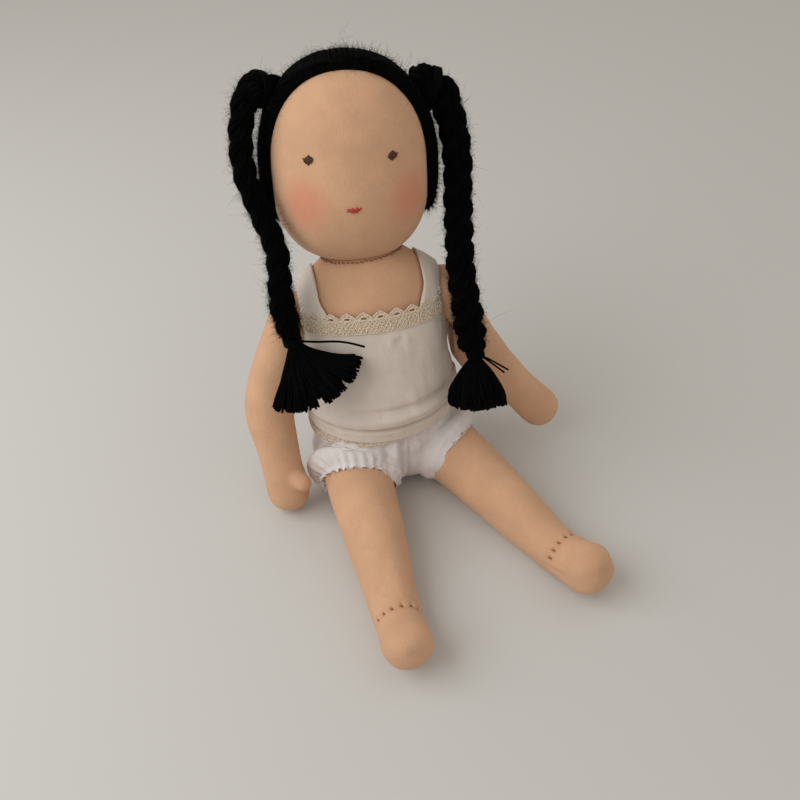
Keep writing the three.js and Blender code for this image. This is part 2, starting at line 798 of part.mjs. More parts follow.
// Eyes and mouth, raised pads of thread that follow the face.
const padSegments = 10;
const padRows = 6;
const facePad = (x, z, wide, high) =>
  stockSolid(
    new THREE.SphereGeometry(1, padSegments, padRows),
    headMatrix
      .clone()
      .multiply(new THREE.Matrix4().makeTranslation(x, -faceDepth(x, z), z))
      .multiply(new THREE.Matrix4().makeScale(wide, stitchRise + clearance, high)),
  ).subtract(formSolid(headForm, clearance / 2));
const eyeRight = facePad(-eyeSpacing, eyeLineHeight, eyeRadius, eyeRadius);
const eyeLeft = facePad(eyeSpacing, eyeLineHeight, eyeRadius, eyeRadius);
const mouth = facePad(0, -mouthDrop, mouthWidth, mouthHeight);

// Hair cap: a thick layer over crown, sides and nape, cut away over the face.
const faceCutLength = headDepth * 2;
const faceCutMiddle = hairlineSide - faceCutLength / 2;
const archSegments = 24;
const faceArch = stockSolid(
  new THREE.CylinderGeometry(1, 1, faceCutLength, archSegments),
  headMatrix
    .clone()
    .multiply(new THREE.Matrix4().makeTranslation(0, faceCutMiddle, faceOpeningCentre))
    .multiply(new THREE.Matrix4().makeScale(faceOpeningWidth, 1, faceOpeningHeight)),
);
const faceBelow = stockSolid(
  new THREE.BoxGeometry(faceOpeningWidth * 2, faceCutLength, chinDrop * 2),
  headMatrix
    .clone()
    .multiply(new THREE.Matrix4().makeTranslation(0, faceCutMiddle, faceOpeningCentre - chinDrop)),
);
const hairCap = keepPast(
  formSolid(headForm, hairThickness)
    .subtract(formSolid(headForm, clearance))
    .subtract(faceArch)
    .subtract(faceBelow),
  inHead(0, 0, -napeDrop),
  headUp,
);

// Plaits. The upper length turns with the head and the lower length hangs below the neck's level.
function plaitOf(path, fullness, brushAim, brushSide, brushWidth) {
  const spine = new THREE.CatmullRomCurve3(path.map(([x, y, z]) => vec(x, y, z)));
  const length = spine.getLength();
  const sized = (half) => [
    [0, half * plaitRootShare],
    [plaitEndRound * 2, plaitPinch],
    [plaitEndRound * 4, half],
    [length - plaitEndRound * 2, half * plaitEndShare],
    [length, plaitPinch],
  ];
  const form = {
    spine,
    side: () => vec(1, 0, 0),
    widths: sized(plaitWidth * fullness),
    depths: sized(plaitDepth * fullness),
    around: 10,
    rings: 14,
  };
  const whole = formSolid(form);
  const rootRoom = formSolid(headForm, hairThickness + clearance);
  const crossingStep = clearance / 2;
  let crossing = 0;
  while (spine.getPointAt(crossing / length).sub(neck).dot(neckAxis) > 0) crossing += crossingStep;
  const lowerFrom = (crossing + clearance) / length;
  const lowerSteps = 4;
  const lowerPoints = [];
  for (let i = 0; i <= lowerSteps; i++) {
    lowerPoints.push(spine.getPointAt(lowerFrom + ((1 - lowerFrom) * i) / lowerSteps));
  }
  const lowerSpine = new THREE.CatmullRomCurve3(lowerPoints);
  const lowerLength = lowerSpine.getLength();
  const lowerSized = (half) => [
    [0, half],
    [lowerLength - plaitEndRound * 2, half * plaitEndShare],
    [lowerLength, plaitPinch],
  ];
  const lower = keepBelowNeck(
    formSolid({
      spine: lowerSpine,
      side: () => vec(1, 0, 0),
      widths: lowerSized(plaitWidth * fullness),
      depths: lowerSized(plaitDepth * fullness),
      startRound: plaitWidth,
      around: 10,
      rings: 6,
      capRings: 2,
    }),
  );
  const swingAt = lowerSpine.getPointAt(plaitWidth / lowerLength);
  const tieFrame = sectionFrame({ spine: lowerSpine, side: () => vec(1, 0, 0) }, lowerLength);
  const tieRadius = plaitPinch + clearance + cordRadius;
  const tie = hoopSolid(tieFrame.centre, tieFrame.along, tieRadius, cordRadius);
  const rootFrame = sectionFrame(form, plaitEndRound * 2);
  const rootTieRadius = plaitPinch + clearance + cordRadius;
  const rootTie = hoopSolid(rootFrame.centre, rootFrame.along, rootTieRadius, cordRadius);
  const rootTieGap = cordRadius + clearance;
  const rootTieRoom = hoopSolid(rootFrame.centre, rootFrame.along, rootTieRadius, rootTieGap);
  const upper = keepAboveNeck(whole).subtract(rootRoom).subtract(rootTieRoom);
  const aim = vec(...brushAim).normalize();
  const brushPivot = tieFrame.centre.clone().addScaledVector(tieFrame.along, clearance + brushTop);
  const brushStart = brushPivot.clone().addScaledVector(aim, -brushTop);
  const brush = formSolid({
    spine: new THREE.LineCurve3(brushStart, brushStart.clone().addScaledVector(aim, brushLength)),
    side: () => vec(...brushSide),
    widths: [
      [brushTop, brushTop],
      [brushLength / 2, brushWidth * brushMiddleShare],
      [brushLength, brushWidth],
    ],
    depths: [
      [brushTop, brushTop],
      [brushLength / 2, brushDepth],
      [brushLength, brushDepth],
    ],
    startRound: brushTop,
    endRound: brushEndRound,
    around: 10,
    rings: 3,
    capRings: 2,
  });
  return { upper, lower, tie, rootTie, brush, swingAt, brushPivot };
}
const rightPlait = plaitOf(rightPlaitPath, rightPlaitFullness, rightBrushAim, rightBrushSide, rightBrushWidth);
const leftPlait = plaitOf(leftPlaitPath, leftPlaitFullness, leftBrushAim, leftBrushSide, leftBrushWidth);

// Camisole, flared at its hem to hang outside the bloomers' waist, with a belly fold above its hem band.
const bodiceTop = torsoLength - bodiceBelowNeck;
const easeStations = [
  [hemHeight, clothEase + hemFlare],
  [hemHeight + hemBandHeight, clothEase + hemFoldEase],
  [hemHeight + bellyFoldHeight, clothEase + bellyFoldEase],
  [hemHeight + flareHeight, clothEase],
];
const hemEase = (distance) => smoothThrough(easeStations, distance);
const clothOutside = (distance) => hemEase(distance) + clothThickness;
const armRoom = [rightArm, leftArm]
  .map((arm) => {
    const under = arm.pivot.clone().addScaledVector(arm.down, shoulderRound);
    const armhole = ballRoom(arm.pivot, shoulderSocket + armholeGap);
    return armhole.add(rodSolid(arm.pivot, under, (shoulderRound + clearance) * rodSlack));
  })
  .reduce((joined, room) => joined.add(room));
const bodiceRings = 12;
const bodiceBand = bandRound(torsoForm, hemHeight, bodiceTop, bodiceRings, hemEase, clothOutside);
const bodice = bodiceBand.subtract(armRoom);
const strapTop = torsoLength - strapTopBelowNeck;
const strapRings = 5;
const strapFrom = bodiceTop + clearance;
const strapShell = bandRound(torsoForm, strapFrom, strapTop, strapRings, hemEase, clothOutside);
const strapReach = chestDepth * 4;
const strapSlab = (sideSign) =>
  stockSolid(
    new THREE.BoxGeometry(strapWidth, strapReach, strapReach),
    chestFrame.clone().setPosition(inChest(sideSign * strapCentre, 0, -bodiceBelowNeck)),
  );
const strapOf = (sideSign) => keepBelowNeck(strapShell.intersect(strapSlab(sideSign)).subtract(armRoom));
const laceInside = (distance) => clothOutside(distance) + clearance;
const laceOutside = (distance) => laceInside(distance) + laceThickness;
const laceTop = bodiceTop + laceAbove;
const laceRing = bandRound(torsoForm, laceTop - laceHeight, laceTop, 2, laceInside, laceOutside);
const laceBackLimit = inChest(0, -clearance, 0);
const laceFront = keepPast(laceRing, laceBackLimit, chestBack.clone().negate());
const neckLace = laceFront.subtract(armRoom);

// Bloomers: cloth over the seat and the tops of the thighs, pressed flat where the doll sits.
const waistCut = vec(0, 0, bloomersTop);
const floorDown = floorUp.clone().negate();
const thighCover = (leg) =>
  keepPast(leg.solid(thighEase), leg.at(legCoverLength), leg.alongLeg.clone().negate());
const bloomersOutside = keepPast(formSolid(torsoForm, bloomersEase), waistCut, floorDown)
  .add(thighCover(rightLeg))
  .add(thighCover(leftLeg));
const bloomers = onFloor(
  bloomersOutside
    .subtract(formSolid(torsoForm, clearance))
    .subtract(rightLeg.solid(clearance))
    .subtract(leftLeg.solid(clearance))
    .subtract(rightLeg.elasticRoom)
    .subtract(leftLeg.elasticRoom),
);
const waistbandFrom = hemHeight - waistbandHeight / 2;
const waistband = bandRound(
  torsoForm,
  waistbandFrom,
  waistbandFrom + waistbandHeight,
  2,
  () => bloomersEase + clearance,
  () => bloomersEase + clearance + waistbandThickness,
);

// The pieces, gathered into the groups that move together.
const doll = new THREE.Group();
doll.name = "doll";
function addPiece(group, name, solid, color, roughness) {
  const mesh = solid.getMesh();
  const geometry = new THREE.BufferGeometry();
  geometry.setAttribute("position", new THREE.BufferAttribute(mesh.vertProperties, 3));
  geometry.setIndex(new THREE.BufferAttribute(mesh.triVerts, 1));
  geometry.computeVertexNormals();
  const material = new THREE.MeshStandardMaterial({ color, roughness, metalness: 0 });
  const piece = new THREE.Mesh(geometry, material);
  piece.name = name;
  group.add(piece);
}
function addGroup(name) {
  const group = new THREE.Group();
  group.name = name;
  doll.add(group);
  return group;
}
const jerseyRough = 0.9;
const woolRough = 1;
const hairRough = 0.95;
const clothRough = 0.85;
const threadRough = 0.7;

const torsoGroup = addGroup("torso");
addPiece(torsoGroup, "torso_skin", torsoSkin, skinColour, jerseyRough);
addPiece(torsoGroup, "torso_stuffing", torsoStuffing, woolColour, woolRough);
addPiece(torsoGroup, "neck_seam_thread", neckSeam, threadColour, threadRough);
addPiece(torsoGroup, "camisole_body", bodice, camisoleColour, clothRough);
addPiece(torsoGroup, "camisole_strap_right", strapOf(-1), camisoleColour, clothRough);
addPiece(torsoGroup, "camisole_strap_left", strapOf(1), camisoleColour, clothRough);
addPiece(torsoGroup, "neckline_lace", neckLace, laceColour, clothRough);
addPiece(torsoGroup, "bloomers", bloomers, bloomersColour, clothRough);
addPiece(torsoGroup, "waistband_lace", waistband, laceColour, clothRough);

const headGroup = addGroup("head");
addPiece(headGroup, "head_core", headCore, woolColour, woolRough);
addPiece(headGroup, "eye_line_tie", eyeLineTie, woolColour, threadRough);
addPiece(headGroup, "ear_line_tie", earLineTie, woolColour, threadRough);
addPiece(headGroup, "neck_tie", neckTie, woolColour, threadRough);
addPiece(headGroup, "head_skin", headSkin, skinColour, jerseyRough);
addPiece(headGroup, "eye_right", eyeRight, eyeColour, threadRough);
addPiece(headGroup, "eye_left", eyeLeft, eyeColour, threadRough);
addPiece(headGroup, "mouth", mouth, mouthColour, threadRough);
addPiece(headGroup, "hair_cap", hairCap, hairColour, hairRough);
for (const [side, plait] of [
  ["right", rightPlait],
  ["left", leftPlait],
]) {
  addPiece(headGroup, "plait_upper_" + side, plait.upper, hairColour, hairRough);
  addPiece(headGroup, "plait_root_tie_" + side, plait.rootTie, hairColour, threadRough);
  const plaitGroup = addGroup("plait_" + side);
  addPiece(plaitGroup, "plait_lower_" + side, plait.lower, hairColour, hairRough);
  addPiece(plaitGroup, "plait_end_tie_" + side, plait.tie, hairColour, threadRough);
  const brushGroup = addGroup("brush_" + side);
  addPiece(brushGroup, "plait_brush_" + side, plait.brush, hairColour, hairRough);
}

for (const [side, arm] of [
  ["right", rightArm],
  ["left", leftArm],
]) {
  const seamGroup = addGroup("shoulder_" + side);
  addPiece(seamGroup, "shoulder_seam_" + side, arm.seam, threadColour, threadRough);
  const armGroup = addGroup("arm_" + side);
  addPiece(armGroup, "arm_skin_" + side, arm.skin, skinColour, jerseyRough);
  addPiece(armGroup, "arm_stuffing_" + side, arm.stuffing, woolColour, woolRough);
}

for (const [side, leg] of [
  ["right", rightLeg],
  ["left", leftLeg],
]) {
  const seamGroup = addGroup("hip_" + side);
  addPiece(seamGroup, "hip_seam_" + side, leg.seam, threadColour, threadRough);
  const legGroup = addGroup("leg_" + side);
  addPiece(legGroup, "leg_skin_" + side, leg.skin, skinColour, jerseyRough);
  addPiece(legGroup, "leg_stuffing_" + side, leg.stuffing, woolColour, woolRough);
  addPiece(legGroup, "ankle_stitches_" + side, leg.stitches, threadColour, threadRough);
  addPiece(legGroup, "leg_elastic_" + side, leg.elastic, bloomersColour, clothRough);
}

export default doll;
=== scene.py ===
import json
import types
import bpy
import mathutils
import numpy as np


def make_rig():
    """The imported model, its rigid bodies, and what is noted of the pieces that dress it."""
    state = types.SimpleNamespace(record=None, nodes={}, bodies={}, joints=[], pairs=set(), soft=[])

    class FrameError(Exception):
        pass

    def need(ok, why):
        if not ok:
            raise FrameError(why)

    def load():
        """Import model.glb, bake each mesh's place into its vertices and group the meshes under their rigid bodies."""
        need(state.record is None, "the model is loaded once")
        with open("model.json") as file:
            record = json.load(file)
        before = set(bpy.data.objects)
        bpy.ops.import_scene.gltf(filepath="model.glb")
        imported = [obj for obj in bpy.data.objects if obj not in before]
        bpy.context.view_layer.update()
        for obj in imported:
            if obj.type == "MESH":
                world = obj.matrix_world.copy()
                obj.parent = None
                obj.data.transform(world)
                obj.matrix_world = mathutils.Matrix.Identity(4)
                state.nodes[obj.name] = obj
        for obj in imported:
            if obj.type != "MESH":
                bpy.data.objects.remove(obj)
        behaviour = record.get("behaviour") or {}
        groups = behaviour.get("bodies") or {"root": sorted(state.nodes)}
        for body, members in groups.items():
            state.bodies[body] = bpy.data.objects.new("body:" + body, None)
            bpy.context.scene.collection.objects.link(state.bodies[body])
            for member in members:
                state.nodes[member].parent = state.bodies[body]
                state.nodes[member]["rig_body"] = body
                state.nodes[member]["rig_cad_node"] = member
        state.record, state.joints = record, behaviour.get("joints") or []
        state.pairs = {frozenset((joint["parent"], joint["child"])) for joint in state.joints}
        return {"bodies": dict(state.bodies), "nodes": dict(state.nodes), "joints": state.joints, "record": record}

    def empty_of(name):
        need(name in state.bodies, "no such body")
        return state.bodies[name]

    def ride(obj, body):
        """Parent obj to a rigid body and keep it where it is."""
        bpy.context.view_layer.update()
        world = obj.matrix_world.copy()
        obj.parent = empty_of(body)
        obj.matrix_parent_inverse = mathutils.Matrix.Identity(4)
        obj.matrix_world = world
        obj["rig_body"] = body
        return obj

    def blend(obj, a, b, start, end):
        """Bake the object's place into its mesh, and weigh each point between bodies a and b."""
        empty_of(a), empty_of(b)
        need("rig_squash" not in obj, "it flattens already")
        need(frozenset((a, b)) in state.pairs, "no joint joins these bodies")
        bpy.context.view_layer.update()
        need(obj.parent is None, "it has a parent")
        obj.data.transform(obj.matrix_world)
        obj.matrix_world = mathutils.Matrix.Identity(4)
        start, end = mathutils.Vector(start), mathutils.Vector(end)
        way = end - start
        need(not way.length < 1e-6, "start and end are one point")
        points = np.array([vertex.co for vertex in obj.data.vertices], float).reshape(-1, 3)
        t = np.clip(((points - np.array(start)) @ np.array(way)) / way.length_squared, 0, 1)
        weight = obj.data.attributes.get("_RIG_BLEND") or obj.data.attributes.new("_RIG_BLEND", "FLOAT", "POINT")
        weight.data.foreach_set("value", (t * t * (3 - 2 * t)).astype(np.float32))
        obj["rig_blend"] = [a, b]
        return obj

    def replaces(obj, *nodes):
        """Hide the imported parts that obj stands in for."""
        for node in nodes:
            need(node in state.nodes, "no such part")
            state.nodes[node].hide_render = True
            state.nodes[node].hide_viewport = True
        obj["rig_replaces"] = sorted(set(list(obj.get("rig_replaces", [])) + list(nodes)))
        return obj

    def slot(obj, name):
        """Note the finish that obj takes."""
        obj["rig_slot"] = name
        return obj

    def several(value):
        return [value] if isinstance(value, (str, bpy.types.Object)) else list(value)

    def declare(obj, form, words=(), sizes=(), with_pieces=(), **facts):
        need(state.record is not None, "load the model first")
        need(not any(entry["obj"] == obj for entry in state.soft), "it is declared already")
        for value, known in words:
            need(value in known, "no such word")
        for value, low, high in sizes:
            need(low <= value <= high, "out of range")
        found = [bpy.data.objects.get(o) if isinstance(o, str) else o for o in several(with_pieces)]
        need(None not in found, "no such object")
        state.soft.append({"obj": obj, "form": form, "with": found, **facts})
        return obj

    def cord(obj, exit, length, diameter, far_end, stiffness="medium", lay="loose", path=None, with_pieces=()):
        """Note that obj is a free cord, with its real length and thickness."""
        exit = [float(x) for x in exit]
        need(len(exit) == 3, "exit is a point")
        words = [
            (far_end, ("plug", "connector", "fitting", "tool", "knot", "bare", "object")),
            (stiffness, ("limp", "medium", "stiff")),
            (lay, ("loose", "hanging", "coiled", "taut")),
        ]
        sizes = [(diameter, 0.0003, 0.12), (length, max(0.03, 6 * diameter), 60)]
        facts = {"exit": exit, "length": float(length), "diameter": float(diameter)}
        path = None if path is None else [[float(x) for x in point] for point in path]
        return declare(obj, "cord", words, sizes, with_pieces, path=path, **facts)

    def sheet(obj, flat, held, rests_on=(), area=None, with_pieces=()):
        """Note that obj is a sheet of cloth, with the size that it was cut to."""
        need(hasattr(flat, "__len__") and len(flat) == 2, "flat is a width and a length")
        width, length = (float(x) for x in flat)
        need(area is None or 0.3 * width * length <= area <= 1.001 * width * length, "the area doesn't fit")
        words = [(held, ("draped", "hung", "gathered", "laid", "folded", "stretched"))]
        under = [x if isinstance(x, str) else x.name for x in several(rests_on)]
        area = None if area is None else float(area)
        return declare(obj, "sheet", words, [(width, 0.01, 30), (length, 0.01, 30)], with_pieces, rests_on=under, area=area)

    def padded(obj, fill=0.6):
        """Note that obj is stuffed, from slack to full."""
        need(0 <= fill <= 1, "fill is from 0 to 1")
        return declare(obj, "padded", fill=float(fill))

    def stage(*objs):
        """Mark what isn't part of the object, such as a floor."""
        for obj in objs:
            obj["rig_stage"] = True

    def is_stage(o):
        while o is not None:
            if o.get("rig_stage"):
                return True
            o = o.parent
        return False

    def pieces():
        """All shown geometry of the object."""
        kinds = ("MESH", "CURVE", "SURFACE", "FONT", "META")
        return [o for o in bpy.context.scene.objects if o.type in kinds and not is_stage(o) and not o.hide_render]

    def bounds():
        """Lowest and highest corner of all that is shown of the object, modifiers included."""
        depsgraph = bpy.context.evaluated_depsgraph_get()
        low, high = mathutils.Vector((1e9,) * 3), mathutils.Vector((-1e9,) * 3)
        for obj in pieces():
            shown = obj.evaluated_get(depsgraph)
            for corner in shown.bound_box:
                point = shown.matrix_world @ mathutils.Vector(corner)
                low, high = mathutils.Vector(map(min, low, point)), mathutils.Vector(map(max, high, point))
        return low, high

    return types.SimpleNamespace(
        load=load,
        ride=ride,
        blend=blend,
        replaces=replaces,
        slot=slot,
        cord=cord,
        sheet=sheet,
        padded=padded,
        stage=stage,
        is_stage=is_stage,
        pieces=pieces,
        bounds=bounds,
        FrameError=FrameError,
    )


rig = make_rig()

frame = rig.load()

import contextlib
import json
import math
import random

import bmesh
import bpy
import numpy as np
from mathutils import Matrix, Vector, noise

cad_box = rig.bounds()
rng = random.Random(11)
dice = np.random.default_rng(7)
MM = 0.001
TURN = 2 * math.pi
SIDES = {"right": -1, "left": 1}

# Camera, at the viewing angle of the photograph.
CAMERA_PLACE = (-0.1257, -0.3684, 0.4274)
AZIMUTH, ELEVATION, ROLL, HALF_VIEW = (math.radians(x) for x in (-20.6, 44.0, -1.6, 26))
SENSOR = 36


def unit(v):
    v = np.array(v, float)
    return v / np.linalg.norm(v)


def units(rows):
    return rows / np.linalg.norm(rows, axis=-1, keepdims=True)


def link(obj):
    bpy.context.scene.collection.objects.link(obj)
    return obj


def make_camera():
    data = bpy.data.cameras.new("camera")
    data.sensor_width = SENSOR
    data.lens = SENSOR / 2 / math.tan(HALF_VIEW)
    data.clip_start = 0.01
    flat = math.cos(ELEVATION)
    back = Vector((math.sin(AZIMUTH) * flat, -math.cos(AZIMUTH) * flat, math.sin(ELEVATION)))
    level = Vector((math.cos(AZIMUTH), math.sin(AZIMUTH), 0))
    upright = back.cross(level)
    right = level * math.cos(ROLL) + upright * math.sin(ROLL)
    up = upright * math.cos(ROLL) - level * math.sin(ROLL)
    camera = link(bpy.data.objects.new("camera", data))
    camera.matrix_world = Matrix.Translation(CAMERA_PLACE) @ Matrix((right, up, back)).transposed().to_4x4()
    bpy.context.scene.camera = camera


make_camera()


# Forms, in millimetres: the same spines and half sizes as the part.
def smooth_through(stations, distance):
    """A smooth curve through (distance, value) stations."""
    last = len(stations) - 1
    if distance <= stations[0][0]:
        return stations[0][1]
    if distance >= stations[last][0]:
        return stations[last][1]
    i = next(k for k, s in enumerate(stations) if s[0] > distance)

    def slope(k):
        before, after = stations[max(k - 1, 0)], stations[min(k + 1, last)]
        return (after[1] - before[1]) / (after[0] - before[0])

    (start, low), (end, high) = stations[i - 1], stations[i]
    span, rise = end - start, high - low
    t = (distance - start) / span
    bend_in = slope(i - 1) * span - rise
    bend_out = rise - slope(i) * span
    return low + rise * t + t * (1 - t) * (bend_in * (1 - t) + bend_out * t)


def rounded_share(past, round_length, squareness):
    if past >= round_length:
        return 1.0
    away = 1 - max(past, 0) / round_length
    return (1 - away**squareness) ** (1 / squareness)


def smoothstep(x, low, high):
    t = min(max((x - low) / (high - low), 0), 1)
    return t * t * (3 - 2 * t)


def bell(x, middle, width):
    return math.exp(-(((x - middle) / width) ** 2))


def wobble(p, scale, seed):
    return noise.noise(Vector((p[0] * scale + seed, p[1] * scale - seed, p[2] * scale)))


def round_wobble(angle, d, size, length, seed):
    """A soft unevenness over a round form."""
    return wobble((math.cos(angle) * size, math.sin(angle) * size, d / length), 1.0, seed)


def round_angles(count):
    return np.arange(count) / count * TURN


def last_where(holds, low, high, rounds):
    """The last value between two limits for which something still holds, found by halving."""
    for _ in range(rounds):
        middle = (low + high) / 2
        low, high = (middle, high) if holds(middle) else (low, middle)
    return low


def half_turn(angle):
    """An angle brought between minus and plus half a turn."""
    return (angle + math.pi) % TURN - math.pi


def marks_along(points):
    steps = np.linalg.norm(np.diff(points, axis=0), axis=1)
    return np.concatenate([[0], np.cumsum(steps)])


def metres(p):
    return tuple(p * MM)


class Spine:
    """A smooth line through points, measured along its length."""

    STEPS = 60

    def __init__(self, points):
        p = [np.array(q, float) for q in points]
        out = []
        for i in range(len(p) - 1):
            a, b = p[i], p[i + 1]
            before = p[i - 1] if i else 2 * a - b
            after = p[i + 2] if i + 2 < len(p) else 2 * b - a
            gaps = ((before, a), (a, b), (b, after))
            d0, d1, d2 = (math.sqrt(np.linalg.norm(y - x)) for x, y in gaps)
            m1 = ((a - before) / d0 - (b - before) / (d0 + d1) + (b - a) / d1) * d1
            m2 = ((b - a) / d1 - (after - a) / (d1 + d2) + (after - b) / d2) * d1
            square, cube = 3 * (b - a) - 2 * m1 - m2, 2 * (a - b) + m1 + m2
            for k in range(self.STEPS):
                t = k / self.STEPS
                out.append(a + m1 * t + square * t**2 + cube * t**3)
        out.append(p[-1])
        self.points = np.array(out)
        self.marks = marks_along(self.points)
        self.length = float(self.marks[-1])

    def within(self, d):
        return np.array([np.interp(d, self.marks, self.points[:, k]) for k in range(3)])

    def at(self, d):
        inside = min(max(d, 0), self.length)
        return self.within(inside) + self.along(d) * (d - inside)

    def along(self, d):
        d = min(max(d, 0.5), self.length - 0.5)
        return unit(self.within(d + 0.5) - self.within(d - 0.5))


class Form:
    """A stuffed form: half sizes along a spine, with rounded ends."""

    def __init__(self, spine, side, widths, depths, start_round=0, end_round=0, start_square=2, end_square=2):
        self.spine, self.side, self.length = spine, side, spine.length
        self.sizes = widths, depths
        self.start, self.end = (start_round, start_square), (end_round, end_square)

    def frame(self, d):
        along = self.spine.along(d)
        side = np.array(self.side(d), float)
        side = unit(side - along * side.dot(along))
        return self.spine.at(d), side, np.cross(side, along), along

    def facing(self, d, way):
        """1 where the form's front looks in a direction, else -1."""
        return 1 if self.frame(d)[2].dot(way) > 0 else -1

    def halves(self, d, grow=0):
        share = 1.0
        for past, (round_length, square) in ((d + grow, self.start), (self.length + grow - d, self.end)):
            if round_length:
                share *= rounded_share(past, round_length + grow, square)
        return [(smooth_through(stations, d) + grow) * share for stations in self.sizes]

    def point(self, d, angle, grow=0):
        centre, side, front, _ = self.frame(d)
        wide, deep = self.halves(d, grow)
        return centre + side * math.cos(angle) * wide + front * math.sin(angle) * deep

    def rows(self, distances, around, grow=0, relief=None):
        """Rings of points; relief(d, angle) adds to the half sizes, in millimetres."""
        angles = round_angles(around)
        out = []
        for d in distances:
            centre, side, front, _ = self.frame(d)
            wide, deep = self.halves(d, grow)
            extra = np.array([relief(d, a) for a in angles]) if relief else np.zeros(around)
            sideways = np.outer(np.cos(angles) * (wide + extra), side)
            out.append(centre + sideways + np.outer(np.sin(angles) * (deep + extra), front))
        return np.array(out)


def spaced(start, end, start_round, end_round, count, caps):
    """Distances along a form, close together in its rounded ends."""
    bends = [1 - math.cos(i / caps * math.pi / 2) for i in range(1, caps)]
    low, high = start + start_round, end - end_round
    out = [start + start_round * b for b in bends] if start_round else []
    out += [low + (high - low) * i / count for i in range(count + 1)]
    if end_round:
        out += [end - end_round * b for b in bends[::-1]]
    return out


def smooth_faces(mesh):
    mesh.polygons.foreach_set("use_smooth", [True] * len(mesh.polygons))


class Builder:
    """Collects points, faces and face-corner coordinates for one mesh."""

    def __init__(self):
        self.points, self.faces, self.uvs = [], [], []
        self.count = 0

    def grid(self, rows, closed=True, uv=lambda i, j: (j, i), caps=False):
        rows = np.array(rows, float)
        n, m = rows.shape[:2]
        first = self.count
        self.points.append(rows.reshape(-1, 3))
        self.count += n * m
        for i in range(n - 1):
            for j in range(m if closed else m - 1):
                corners = ((i, j), (i, j + 1), (i + 1, j + 1), (i + 1, j))
                self.faces.append(tuple(first + a * m + b % m for a, b in corners))
                self.uvs += [uv(a, b) for a, b in corners]
        for i, turn in ((0, -1), (n - 1, 1)) if caps else ():
            ring = list(range(first + i * m, first + (i + 1) * m))[::turn]
            self.points.append(rows[i].mean(axis=0, keepdims=True))
            for j in range(m):
                self.faces.append((ring[j], ring[(j + 1) % m], self.count))
                self.uvs += [uv(i, j), uv(i, j + 1), uv(i, j)]
            self.count += 1
        return self

    def tube(self, points, radius, sides, flat=1.0, out=(0.31, 0.52, 0.8)):
        """A thread along points. radius is a number or one per point, flat the height over the width."""
        points = np.array(points, float)
        n = len(points)
        radii = np.full(n, radius) if np.isscalar(radius) else np.array(radius, float)
        tangents = np.gradient(points, axis=0)
        tangents /= np.linalg.norm(tangents, axis=1, keepdims=True) + 1e-12
        across = np.cross(tangents[0], out)
        across /= np.linalg.norm(across) + 1e-12
        angles = round_angles(sides)
        rows = []
        for centre, tangent, size in zip(points, tangents, radii):
            across = across - tangent * across.dot(tangent)
            across /= np.linalg.norm(across) + 1e-12
            above = np.cross(across, tangent)
            ring = np.outer(np.cos(angles), across) + flat * np.outer(np.sin(angles), above)
            rows.append(centre + size * ring)
        step = np.linalg.norm(points[-1] - points[0]) / max(n - 1, 1)
        return self.grid(rows, uv=lambda i, j: (j / sides, i * step), caps=True)

    def mesh(self, name):
        made = bpy.data.meshes.new(name)
        made.from_pydata((np.concatenate(self.points) * MM).tolist(), [], self.faces)
        layer = made.uv_layers.new(name="cloth")
        layer.data.foreach_set("uv", np.array(self.uvs, np.float32).ravel())
        smooth_faces(made)
        made.update()
        return made


def limb_form(points, side, marks, widths, depths, start_round, end_round):
    """A limb's form; its half sizes belong to marks along its spine."""
    sizes = [list(zip(marks, halves)) for halves in (widths, depths)]
    return Form(Spine(points), lambda d: side, *sizes, start_round=start_round, end_round=end_round)


def stuffed(form, distances, around, grow=0):
    return Builder().grid(form.rows(distances, around, grow), caps=True)


def skin_over(form, distances, around, girth, relief):
    """A closed skin over a form, with coordinates in millimetres of cloth."""
    rows = form.rows(distances, around, 0, relief)
    return Builder().grid(rows, uv=lambda i, j: (j * girth / around, distances[i]), caps=True)


# Meshes and pieces.
@contextlib.contextmanager
def editing(mesh):
    """A mesh opened for edits, which are written back at the end."""
    work = bmesh.new()
    work.from_mesh(mesh)
    yield work
    work.to_mesh(mesh)
    work.free()


def turn_outward(work):
    bmesh.ops.recalc_face_normals(work, faces=work.faces)


def slice_mesh(work, place, keep_towards, **cleared):
    """Cuts at a plane; cleared names the side that goes."""
    everything = work.verts[:] + work.edges[:] + work.faces[:]
    plane = {"plane_co": Vector(np.array(place) * MM), "plane_no": Vector(keep_towards)}
    return bmesh.ops.bisect_plane(work, geom=everything, **plane, **cleared)


def smooth_points(work, rounds):
    axes = {"use_axis_x": True, "use_axis_y": True, "use_axis_z": True}
    for _ in range(rounds):
        bmesh.ops.smooth_vert(work, verts=work.verts, factor=0.5, **axes)


def evaluated(obj):
    return bpy.data.meshes.new_from_object(obj.evaluated_get(bpy.context.evaluated_depsgraph_get()))


def new_object(name, mesh, look):
    mesh.materials.append(look)
    return link(bpy.data.objects.new(name, mesh))


def outward_object(name, made, look):
    """An object from a builder or a mesh, with its faces turned outwards."""
    mesh = made.mesh(name) if isinstance(made, Builder) else made
    with editing(mesh) as work:
        turn_outward(work)
    return new_object(name, mesh, look)


def add_piece(name, made, look, body, slot, *nodes):
    obj = outward_object(name, made, look)
    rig.ride(obj, body)
    if nodes:
        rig.replaces(obj, *nodes)
    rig.slot(obj, slot)
    return obj


def add_side(side_name, name, made, look, body, slot, *nodes):
    """A piece of one side: its name, its body and its nodes all end in that side's name."""
    end = "_" + side_name
    return add_piece(name + end, made, look, body + end, slot, *(node + end for node in nodes))


def displace(mesh, relief):
    """Moves each point along its normal by relief(point, normal), in millimetres."""
    moved = []
    for v in mesh.vertices:
        p = np.array(v.co) / MM
        moved.append(p + np.array(v.normal) * relief(p, np.array(v.normal)))
    mesh.vertices.foreach_set("co", (np.array(moved) * MM).ravel())
    mesh.update()


